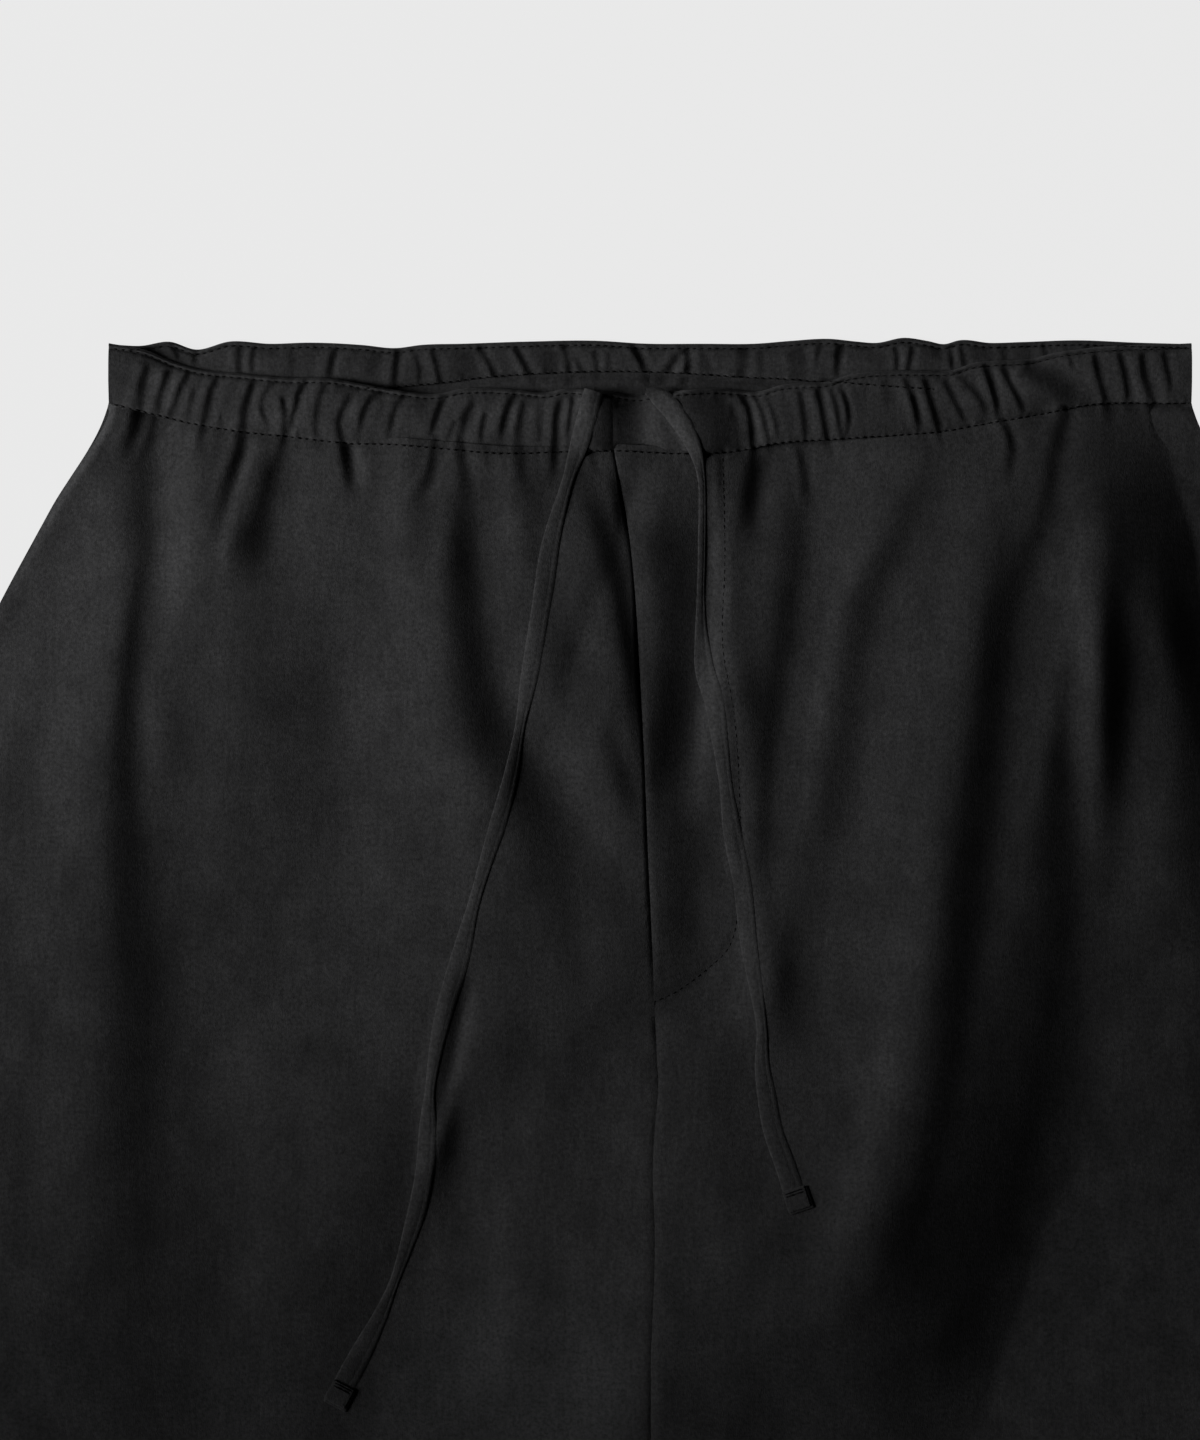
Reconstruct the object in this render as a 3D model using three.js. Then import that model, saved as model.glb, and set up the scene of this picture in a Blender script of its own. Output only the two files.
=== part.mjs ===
// Relaxed pants with a gathered drawstring waist, laid flat with the front up.
//
// Millimetres. X runs to the wearer's left, Y towards the waist, Z up from the table. The origin is the
// centre of the footprint, on the table. Left and right are the wearer's. "Down" is the distance below the
// waistline, measured towards the hems.

import * as THREE from 'three';

// Driving dimensions
const LENGTH = 1060;             // waistline to hem
const HALF_WAIST = 189;          // half the relaxed waist, laid flat
const CROTCH_DOWN = 353;         // waistline to the crotch
const FLY_DOWN = 231;            // waistline to the foot of the fly
const WALL = 1.2;                // cloth
const HEM_WALL = 2.2;            // cloth turned up at the hem
const HEM_HEIGHT = 30;
const BAND_WALL = 3;             // two layers of cloth over the elastic
const SEAM_GAP = 0.3;            // between neighbouring pieces
const TAPE_WIDTH = 6.8;
const TAPE_WALL = 1.2;
const TAPE_END_LENGTH = 5.4;     // the turned end of the tape
const TAPE_END_WIDTH = 7.6;
const TAPE_END_WALL = 2;
const TAPE_END_CORNER = 1;

// Gathers of the elasticated waist
const GATHER_PITCH = 7.7;        // mean distance between creases
const GATHER_UNEVEN = 0.28;      // how far the widths vary
const WIDTH_TURN = 2.4;          // radians from one puff to the next, for its width
const LIFT_TURN = 1.7;           // and for its height
const GATHER_LIFT = 1;           // how far the cloth puffs up between creases
const GATHER_LEAN = 0.24;        // sideways run of a crease for each mm down
const GATHER_REACH = 34;         // how far the puffs run down into the panels
const PLAIN_FROM = -13;          // the ungathered stretch over the fly
const PLAIN_TO = 30;
const PUFF_MEAN = 0.85;          // mean height of a puff, as a share of GATHER_LIFT
const TALLEST_PUFF = GATHER_LIFT * (PUFF_MEAN + GATHER_UNEVEN);
const PUFF_RISE = 0.35;          // where a puff is full, as a share of its width
const PUFF_FALL = 0.7;           // where it starts to fall
const PUFF_SLACK = 0.85;         // its height there

// Heights of the layers
const BACK_TOP = WALL;
const FRONT_REST = BACK_TOP + SEAM_GAP;          // underside of the front where it lies on the back
const BAND_REST = BAND_WALL + TALLEST_PUFF + SEAM_GAP;   // underside of the front band, on the back band
const LOFT = 9;                  // how far the front stands off the back inside the side seams
const LOFT_WIDTH = 60;           // distance in from a side seam at which the loft is full
const INNER_WIDTH = 48;          // and from an inner leg seam
const SHOULDER_RUN = 70;         // run below the band over which the front settles onto the back
const LOFT_RUN = 60;             // run below the band over which the loft grows
const LOFT_START = 0.1;          // share of the loft at the band
const LEGS_FROM = 372;           // where the legs start to round off towards each other
const LEGS_RUN = 90;
const INNER_ROUND = 4;           // how full the inner leg edge is
const FOLD_EDGE = 14;            // distance from the side seam within which the folds fade
const FOLD_START = 0.22;         // shares of a fold's length over which it fades in and out
const FOLD_END = 0.42;
const SIDE_SLOPE = 9;            // how far the left front falls from its crest to its side
const SIDE_SLOPE_RUN = 130;
const SIDE_SLOPE_TO = 400;       // below here the fall fades out over its own run down
const SIDE_SLOPE_FADE = 160;
const FLY_RISE = 0.8;            // how far the fly facing lifts the left front
const FLY_WIDTH = 40;            // fly edge to the J stitch at the top
const FLY_RUN = 12;              // run over which the rise falls away
const LEAN_RUN = 12;             // run near the side seams over which the creases stand upright

// Front waistband: its top fold and its lower seam, as distances below the waistline
const FRONT_BAND = [
  { x: -189, top: 1.4, seam: 22.5 },
  { x: -175, top: 4.2, seam: 26 },
  { x: -158, top: 10.3, seam: 29.8 },
  { x: -143, top: 11.9, seam: 32.6 },
  { x: -112, top: 13.7, seam: 36 },
  { x: -88, top: 17.8, seam: 37.2 },
  { x: -73, top: 18.9, seam: 38.5 },
  { x: -55, top: 17.3, seam: 40.2 },
  { x: -24, top: 17.6, seam: 39.6 },
  { x: -4, top: 19.6, seam: 39.2 },
  { x: 12, top: 17.9, seam: 40.2 },
  { x: 31, top: 17.5, seam: 39.2 },
  { x: 46, top: 16, seam: 36.6 },
  { x: 66, top: 14.4, seam: 35 },
  { x: 88, top: 10.9, seam: 33.6 },
  { x: 106, top: 10.7, seam: 31.6 },
  { x: 120, top: 7.6, seam: 29.3 },
  { x: 150, top: 3.5, seam: 23.6 },
  { x: 189, top: 1.4, seam: 22.5 },
];

// Back waistband, which leans back and shows its inside
const BACK_BAND = [
  { x: -189, top: 1.4, seam: 22 },
  { x: -170, top: 0.7, seam: 21 },
  { x: -158, top: 3.3, seam: 20.4 },
  { x: -146, top: 0.7, seam: 19.6 },
  { x: -88, top: 2.8, seam: 16.5 },
  { x: -56, top: 1.2, seam: 13 },
  { x: -12, top: 0.4, seam: 11.3 },
  { x: 20, top: 1.3, seam: 12 },
  { x: 49, top: 0.4, seam: 14 },
  { x: 63, top: -0.3, seam: 15.4 },
  { x: 79, top: 1, seam: 16.4 },
  { x: 89, top: -0.7, seam: 17 },
  { x: 103, top: 1.4, seam: 18 },
  { x: 150, top: 0.2, seam: 20 },
  { x: 189, top: 1.4, seam: 22 },
];

// Side seam: half the width of the laid garment
const SIDE_SEAM = [
  { down: 0, x: 189 },
  { down: 23, x: 189.5 },
  { down: 60, x: 210 },
  { down: 110, x: 236 },
  { down: 170, x: 257 },
  { down: 250, x: 275 },
  { down: 353, x: 289 },
  { down: 500, x: 286 },
  { down: 760, x: 272 },
  { down: 1060, x: 258 },
];

// Fly edge, then the centre front seam
const CENTRE_LINE = [
  { down: 0, x: -13 },
  { down: 40, x: -12.4 },
  { down: 66, x: -7.7 },
  { down: 119, x: -3.5 },
  { down: 182, x: -0.7 },
  { down: 231, x: 1.4 },
  { down: 261, x: 2.8 },
  { down: 287, x: 0.9 },
  { down: 315, x: 1.6 },
  { down: 353, x: 0.2 },
];

// Inner leg seam, from the crotch to the hem
const INNER_SEAM = [
  { down: 353, x: 0.15 },
  { down: 405, x: 0.2 },
  { down: 500, x: 2.5 },
  { down: 700, x: 8 },
  { down: 1060, x: 14 },
];

// Large folds of the front. The cloth rises to the line of a fold over its lead, falls across the line over
// a width that changes from start to end, and recovers over its trail. Above is the share of the depth that
// stands above the cloth around it. Points of a line are across, and down from the waistline.
const FRONT_FOLDS = [
  {
    name: 'right side', start: 4, end: 45, lead: 21, trail: 34, depth: 2.4, above: 0.3,
    line: [[-173, 63], [-179, 88], [-182, 126], [-182, 189], [-178, 262], [-182, 385]],
  },
  {
    name: 'right pocket', start: 10, end: 19, lead: 6, trail: 28, depth: 2.6, above: 0.35,
    line: [[-132, 32], [-136, 56], [-140, 94]],
  },
  {
    name: 'right outer thigh', start: 33, end: 27, lead: 38, trail: 20, depth: 1.6, above: 0,
    line: [[-126, 91], [-121, 147], [-115, 203]],
  },
  {
    name: 'right thigh', start: 10, end: 32, lead: 29, trail: 18, depth: 3.9, above: 0.5,
    line: [[-66, 36], [-65, 84], [-61, 126], [-50, 151], [-37, 174], [-18, 224]],
  },
  {
    name: 'beside fly', start: 11, end: 5, lead: 18, trail: 8, depth: 1.8, above: 0.8,
    line: [[-23, 44], [-17, 66], [-10, 91], [-6, 126], [-4, 147]],
  },
  {
    name: 'on fly', start: 24, end: 12, lead: 4, trail: 8, depth: 2.6, above: 0.1,
    line: [[7, 45], [10, 91], [8, 133], [6, 175]],
  },
  {
    name: 'beside J stitch', start: 12, end: 6, lead: 12, trail: 12, depth: 1.2, above: 0.7,
    line: [[54, 35], [51, 77], [45, 119], [39, 161], [41, 213], [45, 245]],
  },
  {
    name: 'left groin', start: 12, end: 19, lead: 6, trail: 28, depth: 2.6, above: 0.2,
    line: [[100, 42], [83, 74], [72, 105], [68, 140], [65, 161], [51, 210]],
  },
  {
    name: 'left crest', start: 14, end: 24, lead: 15, trail: 26, depth: 2.6, above: 0.45,
    line: [[124, 30], [123, 77], [119, 119], [115, 161], [108, 203], [101, 248], [90, 290], [73, 327],
      [45, 367]],
  },
  {
    name: 'left pocket', start: 4, end: 14, lead: 5, trail: 29, depth: 1.2, above: 0,
    line: [[141, 30], [138, 57], [128, 87], [122, 105]],
  },
  {
    name: 'left side', start: 6, end: 52, lead: 32, trail: 39, depth: 2.7, above: 0.6,
    line: [[152, 77], [145, 140], [139, 196], [133, 252], [117, 311], [105, 378]],
  },
  {
    name: 'right crotch', start: 45, end: 46, lead: 25, trail: 49, depth: 3, above: 0.2,
    line: [[-70, 238], [-86, 294], [-108, 350], [-116, 385]],
  },
  {
    name: 'right groin', start: 26, end: 26, lead: 6, trail: 29, depth: 3.1, above: 0.8,
    line: [[-45, 224], [-54, 266], [-70, 308]],
  },
  {
    name: 'right of seam', start: 26, end: 24, lead: 16, trail: 22, depth: 2, above: 0.4,
    line: [[-20, 224], [-30, 280], [-35, 311]],
  },
  {
    name: 'right hip', start: 14, end: 30, lead: 24, trail: 30, depth: 2.2, above: 0.4,
    line: [[-205, 90], [-220, 150], [-232, 240], [-238, 330]],
  },
  {
    name: 'left hip', start: 14, end: 24, lead: 20, trail: 24, depth: 2, above: 0.4,
    line: [[176, 70], [186, 110], [190, 170], [186, 240]],
  },
  {
    name: 'left outer hip', start: 20, end: 30, lead: 24, trail: 30, depth: 2, above: 0.4,
    line: [[226, 170], [234, 260], [230, 360]],
  },
  {
    name: 'right knee', start: 30, end: 40, lead: 40, trail: 50, depth: 3, above: 0.4,
    line: [[-118, 400], [-128, 520], [-150, 640], [-176, 740]],
  },
  {
    name: 'right inner knee', start: 24, end: 30, lead: 30, trail: 40, depth: 2, above: 0.4,
    line: [[-40, 430], [-52, 540], [-80, 640]],
  },
  {
    name: 'right outer knee', start: 24, end: 30, lead: 30, trail: 30, depth: 2.2, above: 0.4,
    line: [[-216, 420], [-222, 540], [-214, 660]],
  },
  {
    name: 'right shin', start: 30, end: 40, lead: 40, trail: 40, depth: 2.6, above: 0.4,
    line: [[-92, 660], [-110, 780], [-120, 900], [-118, 1010]],
  },
  {
    name: 'right outer shin', start: 30, end: 34, lead: 34, trail: 40, depth: 2.2, above: 0.4,
    line: [[-190, 760], [-186, 880], [-176, 1000]],
  },
  {
    name: 'right inner shin', start: 20, end: 26, lead: 24, trail: 30, depth: 1.6, above: 0.4,
    line: [[-45, 720], [-52, 840], [-50, 960]],
  },
  {
    name: 'left knee', start: 30, end: 38, lead: 40, trail: 50, depth: 3, above: 0.4,
    line: [[96, 392], [118, 500], [150, 610], [182, 700]],
  },
  {
    name: 'left inner knee', start: 24, end: 32, lead: 30, trail: 40, depth: 2.2, above: 0.4,
    line: [[36, 440], [58, 560], [92, 668]],
  },
  {
    name: 'left outer knee', start: 24, end: 28, lead: 30, trail: 30, depth: 2, above: 0.4,
    line: [[222, 430], [214, 560], [220, 690]],
  },
  {
    name: 'left shin', start: 30, end: 40, lead: 40, trail: 40, depth: 2.8, above: 0.4,
    line: [[80, 690], [104, 800], [112, 910], [106, 1015]],
  },
  {
    name: 'left outer shin', start: 28, end: 34, lead: 34, trail: 38, depth: 2, above: 0.4,
    line: [[196, 770], [182, 890], [186, 1005]],
  },
  {
    name: 'left inner shin', start: 20, end: 26, lead: 24, trail: 30, depth: 1.8, above: 0.4,
    line: [[48, 760], [44, 870], [52, 980]],
  },
];

// Broad swells and hollows of the front: their middle, their two half widths and their rise
const FRONT_SWELLS = [
  { x: -133, down: 208, wide: 52, high: 56, rise: -5 },
  { x: -3, down: 370, wide: 26, high: 45, rise: 5 },
  { x: 92, down: 193, wide: 24, high: 93, rise: 3.2 },
  { x: 75, down: 312, wide: 24, high: 44, rise: 3.5 },
  { x: 99, down: 276, wide: 27, high: 51, rise: 2.8 },
  { x: 125, down: 315, wide: 89, high: 67, rise: -3.2 },
  { x: -55, down: 111, wide: 30, high: 88, rise: 3.7 },
  { x: -13, down: 144, wide: 15, high: 37, rise: 3 },
  { x: 20, down: 203, wide: 14, high: 33, rise: -2.3 },
  { x: -94, down: 343, wide: 73, high: 66, rise: -5 },
  { x: -152, down: 324, wide: 26, high: 90, rise: -2 },
  { x: 38, down: 330, wide: 37, high: 43, rise: 5 },
  { x: 90, down: 138, wide: 29, high: 37, rise: 1.4 },
  { x: 56, down: 51, wide: 24, high: 63, rise: -3.2 },
  { x: -170, down: 123, wide: 12, high: 37, rise: 2.2 },
  { x: 156, down: 123, wide: 12, high: 45, rise: 4 },
];

// The crest beyond which the left front falls to its side
const CREST = [
  { down: 30, x: 126 },
  { down: 115, x: 119 },
  { down: 200, x: 108 },
  { down: 256, x: 98 },
  { down: 315, x: 78 },
  { down: 345, x: 56 },
  { down: 385, x: 10 },
];

// Routes of the two tapes, by hand: across, and down from the waistline
const RIGHT_TAPE = [
  [-14.5, 14.6], [-16.6, 19], [-20.3, 24.5], [-23.5, 35], [-27.3, 49], [-32.9, 70], [-37.5, 91], [-41, 112],
  [-45.5, 136.5], [-48, 150.5], [-51.5, 164.5], [-57, 182], [-61.6, 197.8], [-66.5, 217], [-71, 232.8],
  [-74.6, 248.5], [-76.7, 262.5], [-77.7, 280], [-79.1, 288.8], [-80.5, 308.7], [-85.8, 317.5], [-91, 330],
  [-97.7, 346.9], [-105, 361.6], [-106.8, 365],
];
const LEFT_TAPE = [
  [-3.4, 15.4], [0.6, 17.6], [5.3, 20], [10.5, 23.8], [14, 31.5], [16.5, 40.3], [17.9, 52.5], [18.2, 63],
  [17.9, 77], [17.5, 91], [17.9, 105], [18.9, 115.5], [22.1, 126], [24.2, 140], [26.6, 157.5], [29.1, 175],
  [31.9, 189], [34.3, 211], [36.8, 226.5], [38.9, 241.5], [39, 253], [40.6, 264], [42.7, 275.8], [46.6, 287],
  [49.6, 296],
];
const TAPE_STEPS = 46;
const TAPE_SIDES = 8;
const TAPE_CLEAR = 0.4;          // tape above the cloth
const TAPE_TUCK = 3.4;           // how far the tape starts behind the band's top fold
const TAPE_TUCK_RISE = 4.6;      // height of that start
const BAND_STEP_RUN = 5;         // run over which a tape comes down off the band
const END_GAP = 0.4;             // between a tape and its turned end

// Rows of the panels below the band seam. A row with 0 columns has the columns of the gathers.
const FRONT_HEAD = [
  { below: 0, columns: 0 },
  { below: 7, columns: 0 },
  { below: 19, columns: 44 },
  { below: 38, columns: 34 },
];
const FRONT_FINE = { step: 20, to: 385, columns: 34 };
const FRONT_LEGS = { step: 66, columns: 16 };
const BACK_HEAD = [
  { below: 0, columns: 0 },
  { below: 8, columns: 0 },
  { below: 22, columns: 24 },
];
const BACK_FINE = { step: 46, to: 385, columns: 14 };
const BACK_LEGS = { step: 110, columns: 10 };
const HEM_STEP = 3;              // run of the step where the turned hem begins
const BAND_ROWS = [
  { part: 0, round: 0.35 },
  { part: 0.16, round: 1 },
  { part: 0.84, round: 1 },
  { part: 1, round: 0.62 },
];
const PLAIN_COLUMNS = 5;

const COTTON = { color: 0x1d1d1f, roughness: 0.94, metalness: 0 };
const TAPE_CLOTH = { color: 0x232325, roughness: 0.86, metalness: 0 };

// Value of one column of a table at a place along another, on a smooth line through its rows.
function along(table, key, at, column) {
  const last = table.length - 1;
  if (at <= table[0][key]) return table[0][column];
  if (at >= table[last][key]) return table[last][column];
  const i = table.findIndex((row) => row[key] > at) - 1;
  const span = table[i + 1][key] - table[i][key];
  const t = (at - table[i][key]) / span;
  const slope = (j) => {
    const low = Math.max(j - 1, 0);
    const high = Math.min(j + 1, last);
    return (table[high][column] - table[low][column]) / (table[high][key] - table[low][key]);
  };
  const rise = table[i + 1][column] - table[i][column];
  const ease = t * t * (3 - 2 * t);
  const leave = t * (1 - t) * (1 - t) * span * slope(i);
  const arrive = t * t * (1 - t) * span * slope(i + 1);
  return table[i][column] + ease * rise + leave - arrive;
}

function smooth(value) {
  const t = Math.min(Math.max(value, 0), 1);
  return t * t * (3 - 2 * t);
}

function mix(a, b, t) {
  return a + (b - a) * t;
}

const bandTop = (x) => along(FRONT_BAND, 'x', x, 'top');
const bandSeam = (x) => along(FRONT_BAND, 'x', x, 'seam');
const backTop = (x) => along(BACK_BAND, 'x', x, 'top');
const backSeam = (x) => along(BACK_BAND, 'x', x, 'seam');
const sideX = (down) => along(SIDE_SEAM, 'down', down, 'x');
const centreX = (down) => along(CENTRE_LINE, 'down', down, 'x');
const innerX = (down) => along(INNER_SEAM, 'down', down, 'x');
const crestX = (down) => along(CREST, 'down', down, 'x');
const yAt = (down) => LENGTH / 2 - down;

// Crease lines of a gathered edge and the puffs between them, as columns with a height each.
function gatherColumns(from, to) {
  const count = Math.round(Math.abs(to - from) / GATHER_PITCH);
  const widths = Array.from({ length: count }, (_, i) => 1 + GATHER_UNEVEN * Math.sin(WIDTH_TURN * i));
  const total = widths.reduce((sum, width) => sum + width, 0);
  const columns = [];
  let x = from;
  widths.forEach((width, i) => {
    const step = ((to - from) * width) / total;
    const lift = GATHER_LIFT * (PUFF_MEAN + GATHER_UNEVEN * Math.cos(LIFT_TURN * i));
    columns.push({ x, lift: 0 });
    columns.push({ x: x + PUFF_RISE * step, lift });
    columns.push({ x: x + PUFF_FALL * step, lift: PUFF_SLACK * lift });
    x += step;
  });
  columns.push({ x: to, lift: 0 });
  return columns;
}

function plainColumns(from, to) {
  const shares = Array.from({ length: PLAIN_COLUMNS + 1 }, (_, i) => i / PLAIN_COLUMNS);
  return shares.map((share) => ({ x: mix(from, to, share), lift: 0 }));
}

const RIGHT_GATHERS = gatherColumns(-HALF_WAIST, PLAIN_FROM);
const LEFT_GATHERS = [
  ...plainColumns(PLAIN_FROM, PLAIN_TO).slice(0, -1),
  ...gatherColumns(PLAIN_TO, HALF_WAIST),
];
const BACK_RIGHT_GATHERS = gatherColumns(-HALF_WAIST, 0);
const BACK_LEFT_GATHERS = gatherColumns(0, HALF_WAIST);
const BACK_GATHERS = [...BACK_RIGHT_GATHERS.slice(0, -1), ...BACK_LEFT_GATHERS];

// Height of the puffs at a place along a gathered edge.
function liftAt(columns, x) {
  const next = columns.findIndex((column) => column.x > x);
  if (next <= 0) return 0;
  const before = columns[next - 1];
  const after = columns[next];
  return mix(before.lift, after.lift, (x - before.x) / (after.x - before.x));
}

// Distance to a line of points, positive on its right as it runs down, and the share of its length there.
function besideLine(line, x, down) {
  let nearest = { apart: Infinity, signed: 0, where: 0 };
  for (let i = 0; i + 1 < line.length; i += 1) {
    const [fromX, fromDown] = line[i];
    const runX = line[i + 1][0] - fromX;
    const runDown = line[i + 1][1] - fromDown;
    const part = ((x - fromX) * runX + (down - fromDown) * runDown) / (runX ** 2 + runDown ** 2);
    const t = Math.min(Math.max(part, 0), 1);
    const offX = x - fromX - t * runX;
    const offDown = down - fromDown - t * runDown;
    const apart = Math.hypot(offX, offDown);
    if (apart < nearest.apart) {
      const signed = apart * Math.sign(offX * runDown - offDown * runX);
      nearest = { apart, signed, where: (i + t) / (line.length - 1) };
    }
  }
  return nearest;
}

// Height that one large fold adds at a place on the front.
function foldHeight(fold, x, down) {
  const { signed, where } = besideLine(fold.line, x, down);
  const half = mix(fold.start, fold.end, where) / 2;
  const fade = smooth(where / FOLD_START) * smooth((1 - where) / FOLD_END);
  const rise = fold.above * smooth((signed + half + fold.lead) / fold.lead);
  const fall = smooth((signed + half) / (2 * half));
  const recovery = (1 - fold.above) * smooth((signed - half) / fold.trail);
  return fold.depth * fade * (rise - fall + recovery);
}

function swellHeight(swell, x, down) {
  const apart = ((x - swell.x) / swell.wide) ** 2 + ((down - swell.down) / swell.high) ** 2;
  return swell.rise * Math.exp(-apart);
}

// Upper surface of the front at a place, without its puffs.
function frontHeight(x, down) {
  const side = sideX(down) - Math.abs(x);
  const legs = smooth((down - LEGS_FROM) / LEGS_RUN);
  const inner = mix(1, smooth((Math.abs(x) - innerX(down) + INNER_ROUND) / INNER_WIDTH), legs);
  const below = Math.max(down - bandSeam(x), 0);
  const lowest = FRONT_REST + WALL + (BAND_REST - FRONT_REST) * (1 - smooth(below / SHOULDER_RUN));
  const loft = LOFT * smooth(side / LOFT_WIDTH) * inner * smooth(below / LOFT_RUN + LOFT_START);
  const folds = FRONT_FOLDS.reduce((sum, fold) => sum + foldHeight(fold, x, down), 0);
  const swells = FRONT_SWELLS.reduce((sum, swell) => sum + swellHeight(swell, x, down), 0);
  const sloping = SIDE_SLOPE * (1 - smooth((down - SIDE_SLOPE_TO) / SIDE_SLOPE_FADE));
  const slope = sloping * smooth((x - crestX(down)) / SIDE_SLOPE_RUN);
  const flyRise = x >= centreX(down)
    ? FLY_RISE * smooth((centreX(down) + FLY_WIDTH - x) / FLY_RUN) * smooth((FLY_DOWN - down) / FLY_RUN)
    : 0;
  return Math.max(lowest, lowest + loft + (folds + swells) * smooth(side / FOLD_EDGE) - slope + flyRise);
}

// A closed wall between an upper and a lower sheet of points. Rows may have unequal numbers of points, and
// each point has its place, its two heights and its share of the way across.
function wallGeometry(rows) {
  const positions = [];
  const upper = [];
  const lower = [];
  rows.forEach((row) => {
    upper.push(row.map((p) => positions.push(p.x, p.y, p.top) / 3 - 1));
    lower.push(row.map((p) => positions.push(p.x, p.y, p.bottom) / 3 - 1));
  });
  const triangles = [];
  for (let r = 0; r + 1 < rows.length; r += 1) {
    let i = 0;
    let j = 0;
    while (i + 1 < rows[r].length || j + 1 < rows[r + 1].length) {
      const canUpper = i + 1 < rows[r].length;
      const canLower = j + 1 < rows[r + 1].length;
      const takeUpper = canUpper && (!canLower || rows[r][i + 1].share <= rows[r + 1][j + 1].share);
      const third = takeUpper ? [r, i + 1] : [r + 1, j + 1];
      triangles.push(upper[r][i], upper[r + 1][j], upper[third[0]][third[1]]);
      triangles.push(lower[r][i], lower[third[0]][third[1]], lower[r + 1][j]);
      if (takeUpper) i += 1;
      else j += 1;
    }
  }
  const last = rows.length - 1;
  const border = [
    ...rows.map((_, r) => [r, 0]),
    ...rows[last].slice(1).map((_, i) => [last, i + 1]),
    ...rows.slice(0, -1).map((_, r) => [last - 1 - r, rows[last - 1 - r].length - 1]),
    ...rows[0].slice(1, -1).map((_, i) => [0, rows[0].length - 2 - i]),
  ];
  border.forEach(([r, i], at) => {
    const [nextRow, nextColumn] = border[(at + 1) % border.length];
    const [a, b] = [upper[r][i], lower[r][i]];
    const [c, d] = [upper[nextRow][nextColumn], lower[nextRow][nextColumn]];
    triangles.push(a, b, d, a, d, c);
  });
  const geometry = new THREE.BufferGeometry();
  geometry.setAttribute('position', new THREE.Float32BufferAttribute(positions, 3));
  geometry.setIndex(triangles);
  geometry.computeVertexNormals();
  return geometry;
}

function makePiece(name, geometry, finish) {
  const mesh = new THREE.Mesh(geometry, new THREE.MeshStandardMaterial(finish));
  mesh.name = name;
  return mesh;
}

const leanAt = (x) => GATHER_LEAN * (x < 0 ? 1 : -1) * smooth((HALF_WAIST - Math.abs(x)) / LEAN_RUN);

// A waistband piece. Its creases lean towards the sides as they run down, but for its ends and its middle.
function makeBand(name, columns, topAt, seamAt, rest) {
  const first = columns[0].x;
  const final = columns[columns.length - 1].x;
  const rows = BAND_ROWS.map(({ part, round }) => columns.map(({ x, lift }) => {
    const isStraight = x === first || x === final || (x >= PLAIN_FROM && x <= PLAIN_TO);
    const lean = isStraight ? 0 : leanAt(x) * (1 - part) * (seamAt(x) - topAt(x));
    const inset = x === first ? SEAM_GAP / 2 : (x === final ? -SEAM_GAP / 2 : 0);
    const placed = x + lean + inset;
    return {
      x: placed,
      y: yAt(mix(topAt(placed), seamAt(placed), part)),
      top: rest + BAND_WALL * round + (part > 0 && part < 1 ? lift : lift / 2),
      bottom: rest,
      share: x,
    };
  }));
  return makePiece(name, wallGeometry(rows), COTTON);
}

// Rows of a leg panel from the band seam to the hem: how far down the panel each is, from 0 to 1, and how
// many columns it has, where 0 means the columns of the gathers.
function panelPlan(headRows, fine, legs) {
  const height = LENGTH - bandSeam(0);
  const plan = headRows.map((row) => ({ ...row }));
  let below = plan[plan.length - 1].below;
  while (below + fine.step < fine.to) {
    below += fine.step;
    plan.push({ below, columns: fine.columns });
  }
  while (below + legs.step < height - HEM_HEIGHT - legs.step / 2) {
    below += legs.step;
    plan.push({ below, columns: legs.columns });
  }
  plan.push({ below: height - HEM_HEIGHT - HEM_STEP, columns: legs.columns });
  plan.push({ below: height - HEM_HEIGHT, columns: legs.columns });
  plan.push({ below: height, columns: legs.columns });
  return plan.map((row) => ({ part: row.below / height, columns: row.columns }));
}

// A leg panel. edges gives its two edges at a level, and surface its two heights at a place.
function makePanel(name, gathers, plan, seamAt, edges, surface) {
  const from = gathers[0].x;
  const to = gathers[gathers.length - 1].x;
  const rows = plan.map(({ part, columns }) => {
    const shares = columns === 0
      ? gathers.map((column) => (column.x - from) / (to - from))
      : Array.from({ length: columns + 1 }, (_, i) => i / columns);
    return shares.map((share) => {
      const waistX = mix(from, to, share);
      const seam = seamAt(waistX) + SEAM_GAP;
      const down = mix(seam, LENGTH, part);
      const [left, right] = edges(down);
      const x = mix(left, right, share);
      const puff = liftAt(gathers, waistX) * (1 - smooth((down - seam) / GATHER_REACH));
      return { x, y: yAt(down), share, ...surface(x, down, puff) };
    });
  });
  return makePiece(name, wallGeometry(rows), COTTON);
}

const hemExtra = (down) => (HEM_WALL - WALL) * smooth((down - (LENGTH - HEM_HEIGHT - HEM_STEP)) / HEM_STEP);

function frontSurface(x, down, puff) {
  const bottom = frontHeight(x, down) - WALL + hemExtra(down);
  return { top: bottom + WALL + hemExtra(down) + puff, bottom };
}

function backSurface(x, down, puff) {
  return { top: WALL + hemExtra(down) + puff, bottom: 0 };
}

// Edges of the leg panels at a level. The right front stops short of the fly edge, and the two back panels
// meet at the centre back seam.
const HALF_GAP = SEAM_GAP / 2;
const frontRightEdges = (down) => [
  -sideX(down),
  down < CROTCH_DOWN ? centreX(down) - SEAM_GAP : -innerX(down),
];
const frontLeftEdges = (down) => [down < CROTCH_DOWN ? centreX(down) : innerX(down), sideX(down)];
const backRightEdges = (down) => [-sideX(down), down < CROTCH_DOWN ? -HALF_GAP : -innerX(down)];
const backLeftEdges = (down) => [down < CROTCH_DOWN ? HALF_GAP : innerX(down), sideX(down)];

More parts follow.
